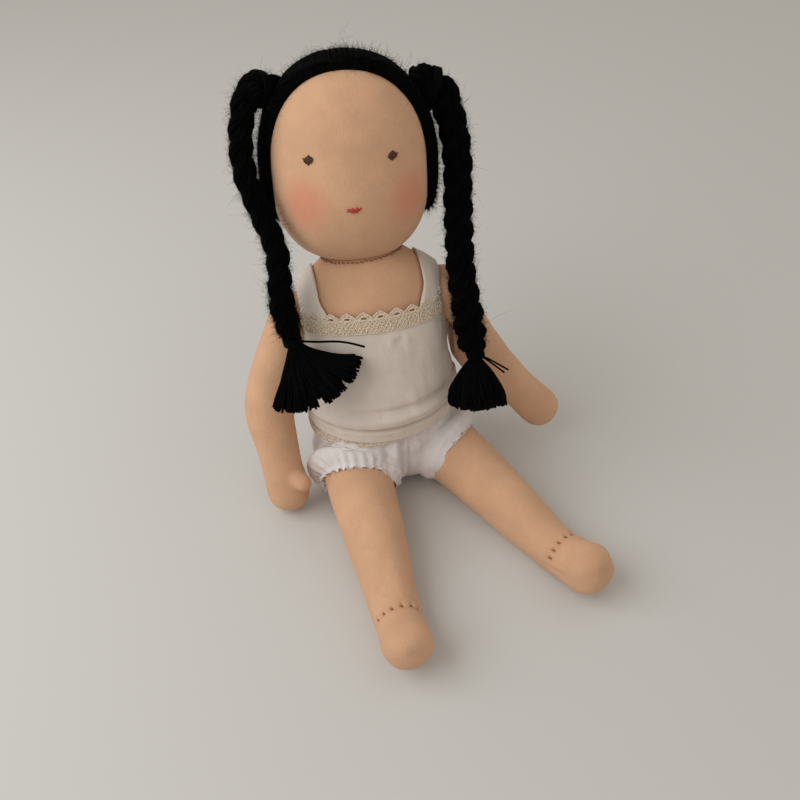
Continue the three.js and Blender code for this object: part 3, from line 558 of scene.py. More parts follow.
def flatten(mesh, floor=0.0):
    """Presses a soft piece flat where it lies on the floor."""
    for v in mesh.vertices:
        v.co.z = max(v.co.z, floor * MM)
    mesh.update()


def remeshed(name, builders, voxel):
    """One closed skin over several overlapping forms."""
    joined = bmesh.new()
    for made in builders:
        part = made.mesh(name + "_form")
        with editing(part) as work:
            turn_outward(work)
        joined.from_mesh(part)
    whole = bpy.data.meshes.new(name)
    joined.to_mesh(whole)
    joined.free()
    temporary = link(bpy.data.objects.new(name + "_work", whole))
    skin = temporary.modifiers.new("skin", "REMESH")
    skin.mode = "VOXEL"
    skin.voxel_size = voxel * MM
    made = evaluated(temporary)
    bpy.data.objects.remove(temporary)
    made.name = name
    return made


def closed_band(name, rows, uv):
    """A band whose rows run up its outside and down its inside, closed where they meet."""
    mesh = Builder().grid(rows + rows[:1], uv=uv).mesh(name)
    with editing(mesh) as work:
        bmesh.ops.remove_doubles(work, verts=work.verts, dist=0.01 * MM)
    return mesh


def thicken(name, mesh, thickness, look):
    """An object with its sheet thickened inwards into a closed solid."""
    obj = link(bpy.data.objects.new(name, mesh))
    solid = obj.modifiers.new("thickness", "SOLIDIFY")
    solid.thickness = thickness * MM
    solid.offset = -1.0
    solid.use_even_offset = False
    made = evaluated(obj)
    obj.modifiers.clear()
    obj.data = made
    made.materials.clear()
    made.materials.append(look)
    smooth_faces(made)
    return obj


# Materials.
class Look:
    def __init__(self, name, colour, roughness, specular):
        self.material = bpy.data.materials.new(name)
        self.material.use_nodes = True
        self.tree = self.material.node_tree
        self.shader = self.tree.nodes["Principled BSDF"]
        self.set("Base Color", (*colour, 1))
        self.set("Roughness", roughness)
        self.set("Specular IOR Level", specular)
        self.relief = None

    def set(self, key, value):
        self.shader.inputs[key].default_value = value

    def node(self, kind, inputs=(), **settings):
        made = self.tree.nodes.new(kind)
        for key, value in settings.items():
            setattr(made, key, value)
        for key, value in dict(inputs).items():
            if isinstance(value, bpy.types.NodeSocket):
                self.tree.links.new(value, made.inputs[key])
            else:
                made.inputs[key].default_value = value
        return made

    def math(self, operation, a, b, clamp=False):
        return self.node("ShaderNodeMath", {0: a, 1: b}, operation=operation, use_clamp=clamp).outputs[0]

    def times(self, a, b):
        return self.math("MULTIPLY", a, b)

    def uv(self):
        return self.node("ShaderNodeUVMap", uv_map="cloth").outputs[0]

    def object(self):
        return self.node("ShaderNodeTexCoord").outputs["Object"]

    def noise(self, where, scale, detail=3.0, roughness=0.55):
        inputs = {"Vector": where, "Scale": scale, "Detail": detail, "Roughness": roughness}
        return self.node("ShaderNodeTexNoise", inputs).outputs["Fac"]

    def stretch(self, where, scale):
        return self.node("ShaderNodeMapping", {"Vector": where, "Scale": scale}).outputs[0]

    def wave(self, where, pitch, direction="X", distortion=0.0):
        inputs = {"Vector": where, "Scale": TURN / 20 / pitch, "Distortion": distortion, "Detail": 1.0}
        bands = {"wave_type": "BANDS", "bands_direction": direction}
        return self.node("ShaderNodeTexWave", inputs, **bands).outputs["Fac"]

    def mix(self, share, first, second):
        ends = [c if isinstance(c, bpy.types.NodeSocket) else (*c, 1) for c in (first, second)]
        inputs = {0: share, 6: ends[0], 7: ends[1]}
        return self.node("ShaderNodeMix", inputs, data_type="RGBA").outputs[2]

    def ramp(self, value, low, high):
        inputs = {0: value, 1: low, 2: high, 3: 0.0, 4: 1.0}
        return self.node("ShaderNodeMapRange", inputs, interpolation_type="SMOOTHSTEP").outputs[0]

    def mottled(self, value, low, high, dark, light):
        return self.mix(self.ramp(value, low, high), dark, light)

    def paint(self, colour):
        self.tree.links.new(colour, self.shader.inputs["Base Color"])

    def bump(self, height, depth, strength=1.0):
        """Adds relief of a depth in metres."""
        made = self.node("ShaderNodeBump", {"Height": height, "Distance": depth, "Strength": strength})
        if self.relief:
            self.tree.links.new(self.relief, made.inputs["Normal"])
        self.relief = made.outputs[0]
        self.tree.links.new(self.relief, self.shader.inputs["Normal"])

    def sheen(self, weight, roughness=0.5, tint=(1, 1, 1)):
        self.set("Sheen Weight", weight)
        self.set("Sheen Roughness", roughness)
        self.set("Sheen Tint", (*tint, 1))


def linear(*levels):
    """Screen levels from 0 to 255 as linear colour."""
    shares = [level / 255 for level in levels]
    return tuple(c / 12.92 if c <= 0.04045 else ((c + 0.055) / 1.055) ** 2.4 for c in shares)


def shade(colour, factor):
    return tuple(c * factor for c in colour)


SKIN = linear(211, 166, 132)
BLUSH = linear(216, 128, 104)
HAIR = linear(9, 8.4, 8.2)
CAMISOLE = linear(217, 204, 193)
BLOOMERS = linear(226, 219, 217)
LACE = linear(228, 210, 187)
BROWN_THREAD = linear(134, 84, 56)
ANKLE_THREAD = linear(150, 98, 68)
EYE_THREAD = linear(84, 52, 32)
MOUTH_THREAD = linear(190, 70, 62)
FLOOR = linear(207, 205, 201)
BLUSH_CORE, BLUSH_REACH = 0.002, 0.0215


def knit_relief(look, pitch, depth):
    """Fine upright ribs of a knit, each made of small loops."""
    where = look.uv()
    ribs = look.wave(where, pitch)
    loops = look.wave(where, pitch * 0.8, "Y")
    look.bump(look.math("ADD", ribs, look.times(loops, 0.4)), depth)


def skin_look(name, cheeks=()):
    look = Look(name, SKIN, 0.86, 0.25)
    where = look.object()
    mottle = look.noise(where, 55.0)
    fibre = look.noise(look.stretch(look.uv(), (0.9, 0.16, 1)), 1.0, 2.0)
    colour = look.mottled(mottle, 0.35, 0.7, shade(SKIN, 0.94), shade(SKIN, 1.04))
    colour = look.mix(look.times(look.ramp(fibre, 0.45, 0.75), 0.16), colour, shade(SKIN, 1.16))
    specks = look.noise(where, 750.0, 2.0)
    colour = look.mix(look.times(look.ramp(specks, 0.5, 0.72), 0.3), colour, shade(SKIN, 0.82))
    for cheek in cheeks:
        reach = look.node("ShaderNodeVectorMath", {0: where, 1: cheek}, operation="DISTANCE").outputs["Value"]
        soft = look.math("SUBTRACT", 1.0, look.ramp(reach, BLUSH_CORE, BLUSH_REACH))
        uneven = look.math("ADD", look.times(mottle, 0.35), 0.42)
        colour = look.mix(look.math("MULTIPLY", soft, uneven, clamp=True), colour, BLUSH)
    look.paint(colour)
    look.bump(look.noise(where, 120.0), 0.0004, 0.35)
    look.bump(specks, 0.0002, 0.5)
    knit_relief(look, 1.25, 0.00005)
    look.sheen(0.12, 0.45, (1.0, 0.9, 0.82))
    return look.material


def camisole_look():
    look = Look("camisole_knit", CAMISOLE, 0.88, 0.25)
    where = look.uv()
    pulls = look.noise(look.stretch(where, (0.5, 0.03, 1)), 1.0, 2.0)
    cloudy = look.noise(where, 0.09)
    colour = look.mottled(cloudy, 0.3, 0.7, shade(CAMISOLE, 0.95), shade(CAMISOLE, 1.03))
    look.paint(look.mix(look.times(look.ramp(pulls, 0.56, 0.72), 0.28), colour, shade(CAMISOLE, 0.84)))
    look.bump(cloudy, 0.0009, 0.4)
    knit_relief(look, 0.8, 0.000025)
    look.sheen(0.1)
    return look.material


def weave_look(name, colour, thread):
    look = Look(name, colour, 0.8, 0.3)
    where = look.uv()
    warp, weft = look.wave(where, thread), look.wave(where, thread, "Y")
    cloudy = look.noise(look.object(), 90.0)
    shaded = look.mottled(cloudy, 0.3, 0.7, shade(colour, 0.96), shade(colour, 1.02))
    look.paint(look.mix(look.times(look.times(warp, weft), 0.12), shaded, shade(colour, 0.8)))
    look.bump(cloudy, 0.0006, 0.3)
    look.bump(look.math("MAXIMUM", warp, weft), 0.00005)
    return look.material


def lace_look():
    look = Look("lace_ground", LACE, 0.85, 0.25)
    where = look.uv()
    grain = look.noise(where, 0.95, 1.5)
    # Dark patches that stand for the gaps of the lace: painted shade, not the lace's own colour.
    hole_shade = look.ramp(look.noise(look.stretch(where, (1.0, 1.5, 1)), 0.6, 1.0), 0.56, 0.7)
    # The ground darkens where the grain sinks, which also drives the bump: painted shade between the threads.
    colour = look.mottled(grain, 0.35, 0.62, shade(LACE, 0.62), shade(LACE, 1.05))
    look.paint(look.mix(look.times(hole_shade, 0.45), colour, shade(LACE, 0.4)))
    look.bump(grain, 0.0006)
    return look.material


def thread_look(name, colour):
    look = Look(name, colour, 0.62, 0.35)
    lay = look.wave(look.stretch(look.uv(), (3.0, 1.0, 1)), 0.9, "DIAGONAL")
    # Lighter on the ridges of the twist and darker in its grooves, following the bump: painted highlight and painted
    # shade along the lay.
    look.paint(look.mix(lay, shade(colour, 0.7), shade(colour, 1.2)))
    look.bump(lay, 0.0001)
    return look.material


def hair_look():
    look = Look("hair_yarn", HAIR, 0.9, 0.06)
    where = look.uv()
    lay = look.wave(look.stretch(where, (5.0, 1.0, 1)), 2.2, "DIAGONAL", 1.5)
    fibre = look.noise(look.stretch(where, (9.0, 0.5, 1)), 2.0, 4.0, 0.7)
    look.paint(look.mottled(fibre, 0.4, 0.8, shade(HAIR, 0.4), shade(HAIR, 1.5)))
    look.bump(fibre, 0.0004, 0.8)
    look.bump(lay, 0.0003, 0.6)
    return look.material


hair = hair_look()
camisole_knit = camisole_look()
bloomers_weave = weave_look("bloomers_weave", BLOOMERS, 0.55)
lace_ground = lace_look()
lace_thread = thread_look("lace_thread", LACE)
brown_thread = thread_look("brown_thread", BROWN_THREAD)
ankle_thread = thread_look("ankle_thread", ANKLE_THREAD)
skin_thread = thread_look("skin_thread", shade(SKIN, 0.85))
eye_thread = thread_look("eye_thread", EYE_THREAD)
mouth_thread = thread_look("mouth_thread", MOUTH_THREAD)


# Placement, repeated from the part.
def turned(axis, angle):
    return np.array(Matrix.Rotation(math.radians(angle), 3, axis))


def lean_back(angle):
    return np.array((0, math.sin(math.radians(angle)), math.cos(math.radians(angle))))


PELVIS_HEIGHT, PELVIS_TO_WAIST, WAIST_TO_NECK = 34, 45, 79
WAIST_LEAN, CHEST_LEAN, CHEST_TURN = 3.5, 16, -11
CHEST_BELOW_NECK, SHOULDERS_BELOW_NECK = 44, 17
SEAT_ROUND, SEAT_SQUARE = 27, 2.6
# Half sizes at the pelvis, the waist, the chest, the shoulders and the neck.
TORSO_WIDTHS, TORSO_DEPTHS = (44, 41.5, 43, 41, 22), (37, 35, 32, 25, 20)
CAMISOLE_WIDTHS = (44, 42, 45.4, 43.2, 22)
pelvis = np.array((0, 0, float(PELVIS_HEIGHT)))
waist = pelvis + lean_back(WAIST_LEAN) * PELVIS_TO_WAIST
neck_axis = lean_back(CHEST_LEAN)
neck = waist + neck_axis * WAIST_TO_NECK
chest_frame = turned("X", -CHEST_LEAN) @ turned("Z", CHEST_TURN)
chest_side, chest_back, chest_up = (chest_frame @ way for way in np.eye(3))
torso_spine = Spine([(0, -1, 1.7), pelvis, waist, neck - neck_axis * 39.5, neck])
torso_length = torso_spine.length


def in_chest(x, y, z):
    return chest_frame @ np.array((x, y, z), float) + neck


def torso_side(d):
    turn = math.radians(CHEST_TURN) * smoothstep(d, PELVIS_HEIGHT, torso_length - CHEST_BELOW_NECK)
    return (math.cos(turn), math.sin(turn), 0)


def torso_shape(widths):
    below_neck = [torso_length - x for x in (CHEST_BELOW_NECK, SHOULDERS_BELOW_NECK, 0)]
    marks = [0, PELVIS_HEIGHT, PELVIS_HEIGHT + PELVIS_TO_WAIST] + below_neck
    sizes = [list(zip(marks, halves[:1] + halves)) for halves in (widths, TORSO_DEPTHS)]
    return Form(torso_spine, torso_side, *sizes, start_round=SEAT_ROUND, start_square=SEAT_SQUARE)


torso_form = torso_shape(TORSO_WIDTHS)
camisole_form = torso_shape(CAMISOLE_WIDTHS)
torso_front = torso_form.facing(40, (0, -1, 0))
front_angle = math.pi / 2 * torso_front

# Head, with its own frame: x to its left, y to its back, z up.
HEAD_WIDTH, HEAD_DEPTH, CROWN, CHIN = 45.5, 45.0, 55.0, 54.0
CROWN_SQUARE, CHIN_SQUARE = 2.15, 2.6
HEAD_ABOVE_NECK, HEAD_ASIDE = 50, -4.0
head_frame = turned("Z", -15.5) @ turned("Y", 0.7) @ turned("X", -22.8)
head_side, head_back, head_up = (head_frame @ way for way in np.eye(3))
head_centre = neck + head_up * HEAD_ABOVE_NECK + np.array((HEAD_ASIDE, 0, 0))


def in_head(x, y, z):
    return head_frame @ np.array((x, y, z), float) + head_centre


head_form = Form(
    Spine([in_head(0, 0, -CHIN), in_head(0, 0, CROWN)]),
    lambda d: head_side,
    [(0, HEAD_WIDTH)],
    [(0, HEAD_DEPTH)],
    start_round=CHIN,
    end_round=CROWN,
    start_square=CHIN_SQUARE,
    end_square=CROWN_SQUARE,
)


def head_share(z):
    if z < 0:
        return rounded_share(CHIN + z, CHIN, CHIN_SQUARE)
    return rounded_share(CROWN - z, CROWN, CROWN_SQUARE)


def head_point(direction, grow=0.0):
    """The head's surface, grown outwards, in a direction from its centre, in the head's frame."""
    direction = unit(direction)

    def inside(reach):
        x, y, z = direction * reach
        share = head_share(z) if -CHIN < z < CROWN else 0
        return share > 1e-6 and (x / (HEAD_WIDTH * share)) ** 2 + (y / (HEAD_DEPTH * share)) ** 2 < 1

    return direction * (last_where(inside, 0.0, 80.0, 26) + grow)


def head_relief(d, angle):
    z = d - CHIN
    front = max(math.sin(angle), 0) ** 2
    eye_line = -0.9 * bell(z, 5, 7) * front
    cheeks = 0.9 * bell(z, -20, 14) * front
    return eye_line + cheeks + 0.35 * round_wobble(angle, z, 3, 16, 3.7)


def face_point(x, z):
    """A place on the face with its soft relief, in the head's frame."""
    share = head_share(z)
    angle = math.acos(min(max(x / (HEAD_WIDTH * share), -1), 1))
    extra = head_relief(z + CHIN, angle)
    return np.array((x, -(HEAD_DEPTH * share + extra) * math.sin(angle), z))


def trim(mesh, place, keep_towards):
    """Cuts a mesh at a plane and closes the cut."""
    with editing(mesh) as work:
        cut = slice_mesh(work, place, keep_towards, clear_inner=True)
        edges = [e for e in cut["geom_cut"] if isinstance(e, bmesh.types.BMEdge)]
        bmesh.ops.holes_fill(work, edges=edges, sides=0)


HEAD_AROUND, HEAD_GIRTH = 96, 289
CHEEKS = ((-26.5, -17.5), (31.5, -16.5))
front_sign = head_form.facing(CHIN, -head_back)
head_distances = sorted(set(spaced(0, CHIN + CROWN, CHIN, CROWN, 1, 26)))
head_builder = skin_over(
    head_form, head_distances, HEAD_AROUND, HEAD_GIRTH, lambda d, a: head_relief(d, a * front_sign)
)
head_mesh = head_builder.mesh("head")
trim(head_mesh, neck - neck_axis * 1.0, neck_axis)
cheek_places = [metres(in_head(*face_point(x, z))) for x, z in CHEEKS]
head = add_piece(
    "head", head_mesh, skin_look("head_jersey", cheek_places), "head", "skin_jersey",
    "head_skin", "head_core", "eye_line_tie", "ear_line_tie", "neck_tie",
)
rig.padded(head, fill=0.95)


# Eyes and mouth, each a few satin stitches.
STITCH_POINTS = 7
EYE_AT, MOUTH_AT = (22, 5.7), (0, -20.5)
LASH = ((1.6, 0.5), (2.9, 0.9))
MOUTH_LINES = [
    ((-3.8, 0.5), (0.4, 0.2)),
    ((-0.6, 0.25), (3.9, 0.8)),
    ((-3.0, -0.3), (0.8, -0.5)),
    ((0.0, -0.4), (2.9, -0.05)),
    ((-1.9, -1.0), (1.6, -1.1)),
    ((-1.1, 1.1), (-0.4, -0.6)),
    ((1.3, 1.3), (0.9, -0.5)),
    ((-3.9, -0.7), (-2.6, 0.4)),
]


def face_normal(x, z):
    here = face_point(x, z)
    return unit(np.cross(unit(face_point(x + 0.5, z) - here), unit(face_point(x, z + 0.5) - here)))


def stitch(builder, start, end, lift, radius, out):
    """A thread that rises out of the cloth, lies on it and dips in again."""
    line = []
    for t in np.arange(STITCH_POINTS) / (STITCH_POINTS - 1):
        arch = math.sin(math.pi * t)
        rise = lift * min(1, 3.2 * arch) - radius * 0.8 * (1 - arch)
        line.append(start + (end - start) * t + out * rise)
    builder.tube(line, radius, 6, out=out)


def stitch_ring(count, shares, middle, axes, radius, lift, thread):
    """A round of stitches about a middle, in the plane of two axes."""
    made = Builder()
    for k in range(count):
        turns = [TURN * (k + s) / count for s in shares]
        ends = [middle + (axes[0] * math.cos(t) + axes[1] * math.sin(t)) * radius for t in turns]
        stitch(made, *ends, lift, thread, unit(ends[0] - middle))
    return made


def embroider(node, x, z, look, slot, lines, radius, lift):
    made = Builder()
    for line in lines:
        ends = [in_head(*face_point(x + a, z + b)) for a, b in line]
        out = head_frame @ face_normal(x + line[0][0], z + line[0][1])
        stitch(made, *ends, lift, radius, out)
    add_piece(node + "_embroidery", made, look, "head", slot, node)


def eye_lines():
    lines = []
    for k in range(-4, 5):
        offset = k * 0.5
        half = 2.6 - abs(offset) * 0.9 + rng.uniform(-0.2, 0.2)
        lines.append(((offset - 0.25, -half + rng.uniform(-0.15, 0.15)), (offset + 0.25, half)))
    return lines


for side_name, sign in SIDES.items():
    lines = eye_lines() + [[(a * sign, b) for a, b in LASH]]
    embroider("eye_" + side_name, EYE_AT[0] * sign, EYE_AT[1], eye_thread, "eye_thread", lines, 0.38, 0.55)
embroider("mouth", *MOUTH_AT, mouth_thread, "mouth_thread", MOUTH_LINES, 0.42, 0.6)


# Torso skin, slimmer where the bloomers hide it, and the stitches round the neck.
def torso_relief(d, angle):
    tucked = 1 - smoothstep(d, 36, 48)
    ahead = max(math.sin(angle) * torso_front, 0)
    return -tucked * (1.5 + 11 * ahead**2) + 0.35 * round_wobble(angle, d, 2, 18, 1.3)


TORSO_AROUND, TORSO_GIRTH = 80, 250
torso_distances = spaced(0, torso_length, SEAT_ROUND, 0, 40, 10)
torso_builder = skin_over(torso_form, torso_distances, TORSO_AROUND, TORSO_GIRTH, torso_relief)
torso = add_piece(
    "torso", torso_builder, skin_look("body_jersey"), "torso", "skin_jersey", "torso_skin", "torso_stuffing"
)
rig.padded(torso, fill=0.9)

NECK_STITCHES = 54
NECK_LINE = torso_length - 0.8
neck_builder = Builder()
for k in range(NECK_STITCHES):
    ends = []
    for share, slant in ((0.1, -0.3), (0.72, 0.35)):
        level = NECK_LINE + slant + rng.uniform(-0.3, 0.3)
        ends.append(torso_form.point(level, TURN * (k + share) / NECK_STITCHES, 0.7))
    stitch(neck_builder, *ends, 0.5, 0.24, unit(ends[0] - torso_spine.at(NECK_LINE)))
add_piece("neck_stitches", neck_builder, brown_thread, "torso", "seam_thread", "neck_seam_thread")


# Arms: soft mittens with a thumb. Lengths run from the shoulder, marks from the arm's top end.
ARM_RADIUS, HAND_ROUND = 15, 13
SHOULDER_OUT, SHOULDER_DOWN = 45, -35
UPPER_ARM, ELBOW, WRIST, FINGERTIPS = 28, 59, 95.5, 128
ARM_MARKS = (15, 30, 74, 110.5, 128)
ARM_WIDTHS, ARM_DEPTHS = (15, 15, 14.4, 11.8, 12.6), (15, 15, 14.4, 11.8, 10.5)
THUMB_AT, THUMB_LENGTH, THUMB_ROUND, THUMB_DROOP = 97, 24.8, 4.6, 24
THUMB_SIZES = [(0, 5.4), (24, 4.7)]
CHEST_HALF = 48.4
SHOULDER_SEAM_IN, SHOULDER_SEAM_RADIUS = 6, 15.9
# How far out and forward each arm hangs, its bows at the upper arm, elbow and hand, and its thumb's turn.
ARM_POSES = {"right": (16.2, 22, 7.8, 12.4, -7, 141), "left": (30.7, 20, -3.6, -5.5, 2.5, -105)}


def wrap_uv(mesh, form, reach):
    """Face-corner coordinates: round the form and along it, in millimetres."""
    steps = np.linspace(0, form.length, 160)
    centres, sides, fronts, alongs = (np.array(x) for x in zip(*(form.frame(d) for d in steps)))
    co = np.zeros(len(mesh.vertices) * 3)
    mesh.vertices.foreach_get("co", co)
    co = co.reshape(-1, 3) / MM
    nearest = np.argmin(((co[:, None, :] - centres[None]) ** 2).sum(2), axis=1)
    rel = co - centres[nearest]
    angle = np.arctan2((rel * fronts[nearest]).sum(1), (rel * sides[nearest]).sum(1))
    along = steps[nearest] + (rel * alongs[nearest]).sum(1)
    layer = mesh.uv_layers.get("cloth") or mesh.uv_layers.new(name="cloth")
    for polygon in mesh.polygons:
        a = angle[list(polygon.vertices)]
        a = np.where((a.max() - a.min() > math.pi) & (a < 0), a + TURN, a)
        for k, loop in enumerate(polygon.loop_indices):
            layer.data[loop].uv = (a[k] * reach, along[polygon.vertices[k]])


def press_to_chest(mesh, pivot, sign):
    """Flattens an arm where it lies along the body, away from its shoulder."""
    for v in mesh.vertices:
        p = np.array(v.co) / MM
        local = chest_frame.T @ (p - neck)
        if local[0] * sign < CHEST_HALF:
            pressed = smoothstep(np.linalg.norm(p - pivot), 15.5, 23)
            local[0] += (CHEST_HALF * sign - local[0]) * pressed
            v.co = Vector((chest_frame @ local + neck) * MM)
    mesh.update()


def make_arm(side_name, sign):
    pivot = in_chest(sign * SHOULDER_OUT, 0, SHOULDER_DOWN)
    out, forward, upper_bow, elbow_bow, hand_bow, thumb_turn = ARM_POSES[side_name]
    wrist_bow = (elbow_bow + hand_bow) / 2
    out, forward, thumb_turn, droop = (math.radians(x) for x in (out, forward, thumb_turn, THUMB_DROOP))
    lower, level = -math.cos(out) * math.cos(forward), -math.cos(out) * math.sin(forward)
    down = np.array((sign * math.sin(out), level, lower))
    away = chest_side * sign
    bow = unit(away - down * away.dot(down))
    ahead = np.cross(down, bow) * sign

    def at(distance, bowed):
        return pivot + down * distance + bow * bowed

    bows = ((UPPER_ARM, upper_bow), (ELBOW, elbow_bow), (WRIST, wrist_bow), (FINGERTIPS, hand_bow))
    points = [at(-ARM_RADIUS, 0), pivot] + [at(*b) for b in bows]
    form = limb_form(points, bow, ARM_MARKS, ARM_WIDTHS, ARM_DEPTHS, ARM_RADIUS, HAND_ROUND)
    limb = stuffed(form, spaced(0, form.length, ARM_RADIUS, HAND_ROUND, 26, 7), 32)
    thumb_from = at(THUMB_AT, wrist_bow)
    thumb_level = bow * math.cos(thumb_turn) + ahead * math.sin(thumb_turn)
    thumb_aim = thumb_level * math.cos(droop) + down * math.sin(droop)
    thumb_spine = Spine([thumb_from, thumb_from + thumb_aim * THUMB_LENGTH])
    thumb_form = Form(thumb_spine, lambda d: bow, THUMB_SIZES, THUMB_SIZES, end_round=THUMB_ROUND)
    thumb = stuffed(thumb_form, spaced(0, THUMB_LENGTH, 0, THUMB_ROUND, 6, 5), 16)
    mesh = remeshed("arm_" + side_name, [limb, thumb], 1.3)
    with editing(mesh) as work:
        smooth_points(work, 8)
    displace(mesh, lambda p, n: 0.9 + 0.5 * max(n.dot(bow), 0) + 0.5 * wobble(p, 0.06, sign * 2.0))
    press_to_chest(mesh, pivot, sign)
    wrap_uv(mesh, form, 13)
    smooth_faces(mesh)
    look = skin_look("arm_jersey_" + side_name)
    arm = add_side(side_name, "arm", mesh, look, "arm", "skin_jersey", "arm_skin", "arm_stuffing")
    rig.padded(arm, fill=0.8)
    middle = in_chest(sign * (SHOULDER_OUT - SHOULDER_SEAM_IN), 0, SHOULDER_DOWN)
    radius = math.sqrt(SHOULDER_SEAM_RADIUS**2 - SHOULDER_SEAM_IN**2)
    seam = stitch_ring(36, (0.15, 0.75), middle, (chest_back, chest_up), radius, 0.15, 0.3)
    add_side(side_name, "shoulder_stitches", seam, skin_thread, "shoulder", "seam_thread", "shoulder_seam")
    return pivot


shoulders = [make_arm(side_name, sign) for side_name, sign in SIDES.items()]


# Legs: soft tubes with a foot drawn up at the ankle by a row of stitches. Lengths run from the hip.
HIP_RADIUS, TOE_ROUND = 21.5, 13
THIGH, KNEE, ANKLE, FOOT_LENGTH = 36, 82, 136, 32
LEG_MARKS = (21.5, 57.5, 103.5, 157.5, 173.5)
LEG_WIDTHS, LEG_DEPTHS = (21.5, 21, 17.6, 13.2, 14), (21.5, 21, 17.6, 13.2, 13.5)
HIP_OUT, HIP_BACK, HIP_UP = 26, -2.0, 24.0
LEG_DROOP, FOOT_LIFT = 4.4, 28
LEG_SPREAD = {"right": 7, "left": 17.5}
# Each foot's sole is a little fuller than its form, the left one more.
SOLE_SWELL = {"right": 0.4, "left": 2.6}
LEG_AROUND, LEG_GIRTH = 132, 115
ANKLE_LINE = 158.0
ANKLE_STITCHES = [math.radians(x) for x in (-64, -40, -15, 11, 36, 61)]
HIP_SEAM_IN, HIP_SEAM_RADIUS = 18.5, 22.4


def make_leg(side_name, sign):
    pivot = np.array((sign * HIP_OUT, HIP_BACK, HIP_UP))
    out, droop, lift = (math.radians(x) for x in (LEG_SPREAD[side_name], LEG_DROOP, FOOT_LIFT))
    level = np.array((sign * math.sin(out), -math.cos(out), 0))
    along_leg = level * math.cos(droop) - np.array((0, 0, math.sin(droop)))
    along_foot = level * math.cos(lift) + np.array((0, 0, math.sin(lift)))
    across = np.array((-level[1], level[0], 0))

    def at(distance):
        return pivot + along_leg * distance

    points = [at(-HIP_RADIUS), pivot, at(THIGH), at(KNEE), at(ANKLE), at(ANKLE) + along_foot * FOOT_LENGTH]
    form = limb_form(points, across, LEG_MARKS, LEG_WIDTHS, LEG_DEPTHS, HIP_RADIUS, TOE_ROUND)
    top = math.pi / 2 * form.facing(100, (0, 0, 1))

    def relief(d, angle):
        turn = half_turn(angle - top)
        upper = 1 - smoothstep(abs(turn), 1.25, 1.8)
        pinch = sum(bell(turn, a, 0.075) for a in ANKLE_STITCHES)
        past = d - ANKLE_LINE
        crease = -upper * (0.6 * bell(past, 0, 1.3) + 1.7 * pinch * bell(past, -1.2, 2.2))
        swell = upper * (1.0 * bell(past, 6, 5) + 0.5 * bell(past, -6, 5))
        folds = -0.9 * bell(abs(turn), 1.5, 0.13) * bell(past, 7, 8)
        lumps = 0.5 * round_wobble(angle, d, 1.4, 22, 5.0 + sign)
        sole = SOLE_SWELL[side_name] * smoothstep(abs(turn), 1.5, 2.5) * smoothstep(past, 2, 16)
        return crease + swell + folds + lumps + sole + 0.45

    distances = spaced(0, form.length, HIP_RADIUS, TOE_ROUND, 90, 9)
    distances = sorted(distances + [ANKLE_LINE + 0.5 * k for k in range(-12, 13)])
    mesh = skin_over(form, distances, LEG_AROUND, LEG_GIRTH, relief).mesh("leg_" + side_name)
    look = skin_look("leg_jersey_" + side_name)
    leg = add_side(side_name, "leg", mesh, look, "leg", "skin_jersey", "leg_skin", "leg_stuffing")
    flatten(mesh)
    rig.padded(leg, fill=0.85)
    threads = Builder()
    for a in ANKLE_STITCHES:
        ends = []
        for step, slant in ((-2.2, -0.03), (1.4, 0.03)):
            d = ANKLE_LINE - 0.6 + step
            ends.append(form.point(d, top + a + slant, relief(d, top + a)))
        stitch(threads, *ends, 0.0, 0.34, unit(ends[0] - form.spine.at(ANKLE_LINE)))
    add_side(side_name, "ankle_thread", threads, ankle_thread, "leg", "seam_thread", "ankle_stitches")
    radius = math.sqrt(HIP_SEAM_RADIUS**2 - HIP_SEAM_IN**2)
    above = np.cross(along_leg, across)
    seam = stitch_ring(18, (0.1, 0.75), at(-HIP_SEAM_IN), (across, above), radius, 0.3, 0.4)
    add_side(side_name, "hip_stitches", seam, skin_thread, "hip", "seam_thread", "hip_seam")
    return {"pivot": pivot, "along": along_leg, "across": across, "above": above, "form": form, "sign": sign}


legs = {side_name: make_leg(side_name, sign) for side_name, sign in SIDES.items()}

# Hair cap: locks drawn from the hairline and the parting to the root of each plait, over a dark base.
HAIRLINE_STEPS = 120
CAP_SHARES = [0.02, 0.15, 0.3, 0.45, 0.6, 0.72, 0.82, 0.9, 0.95, 0.98, 1.0]
CAP_GROWS = [5.3] * 7 + [5.2, 4.8, 3.9, 1.6]
FACE_HALF, FACE_TOP, NAPE = 43, 51.5, -29
LOCK_POINTS, LOCKS_ROUND, LOCKS_PARTING = 15, 46, 30
PLAIT_PATHS = {
    "right": [
        (-30, 67, 237), (-44, 62, 243.5), (-54.5, 51, 229), (-58.2, 40.2, 209), (-55.2, 27.6, 191),
        (-52.2, 14.9, 174), (-54.0, 8.7, 158), (-55.6, 3.1, 145), (-55, -1.9, 133), (-54.2, -4.4, 124),
    ],
    "left": [
        (43, 50, 236), (58.5, 44.5, 230.5), (62, 35, 217), (61, 24, 199), (56.5, 12, 179),
        (53, 1, 160), (50.5, -8, 145), (49.5, -19.5, 127), (50, -26, 109), (51.5, -29.5, 99),
    ],
}


def head_direction(theta, phi):
    return np.array((math.sin(phi) * math.cos(theta), math.cos(phi), math.sin(phi) * math.sin(theta)))


def bare(p):
    """Whether a place on the head shows skin: the face, and the nape under the hair."""
    x, y, z = p
    if z < NAPE:
        return True
    if y >= -1:
        return False
    if z > -3:
        return abs(x / FACE_HALF) ** 2.25 + ((z + 3) / FACE_TOP) ** 2.25 < 1
    return abs(x) < FACE_HALF


def hairline(theta):
    """How far from the back of the head the hair reaches."""
    return last_where(lambda phi: not bare(head_point(head_direction(theta, phi))), 0.1, 3.0, 16)


def softened(values):
    return (np.roll(values, 1) + 2 * values + np.roll(values, -1)) / 4


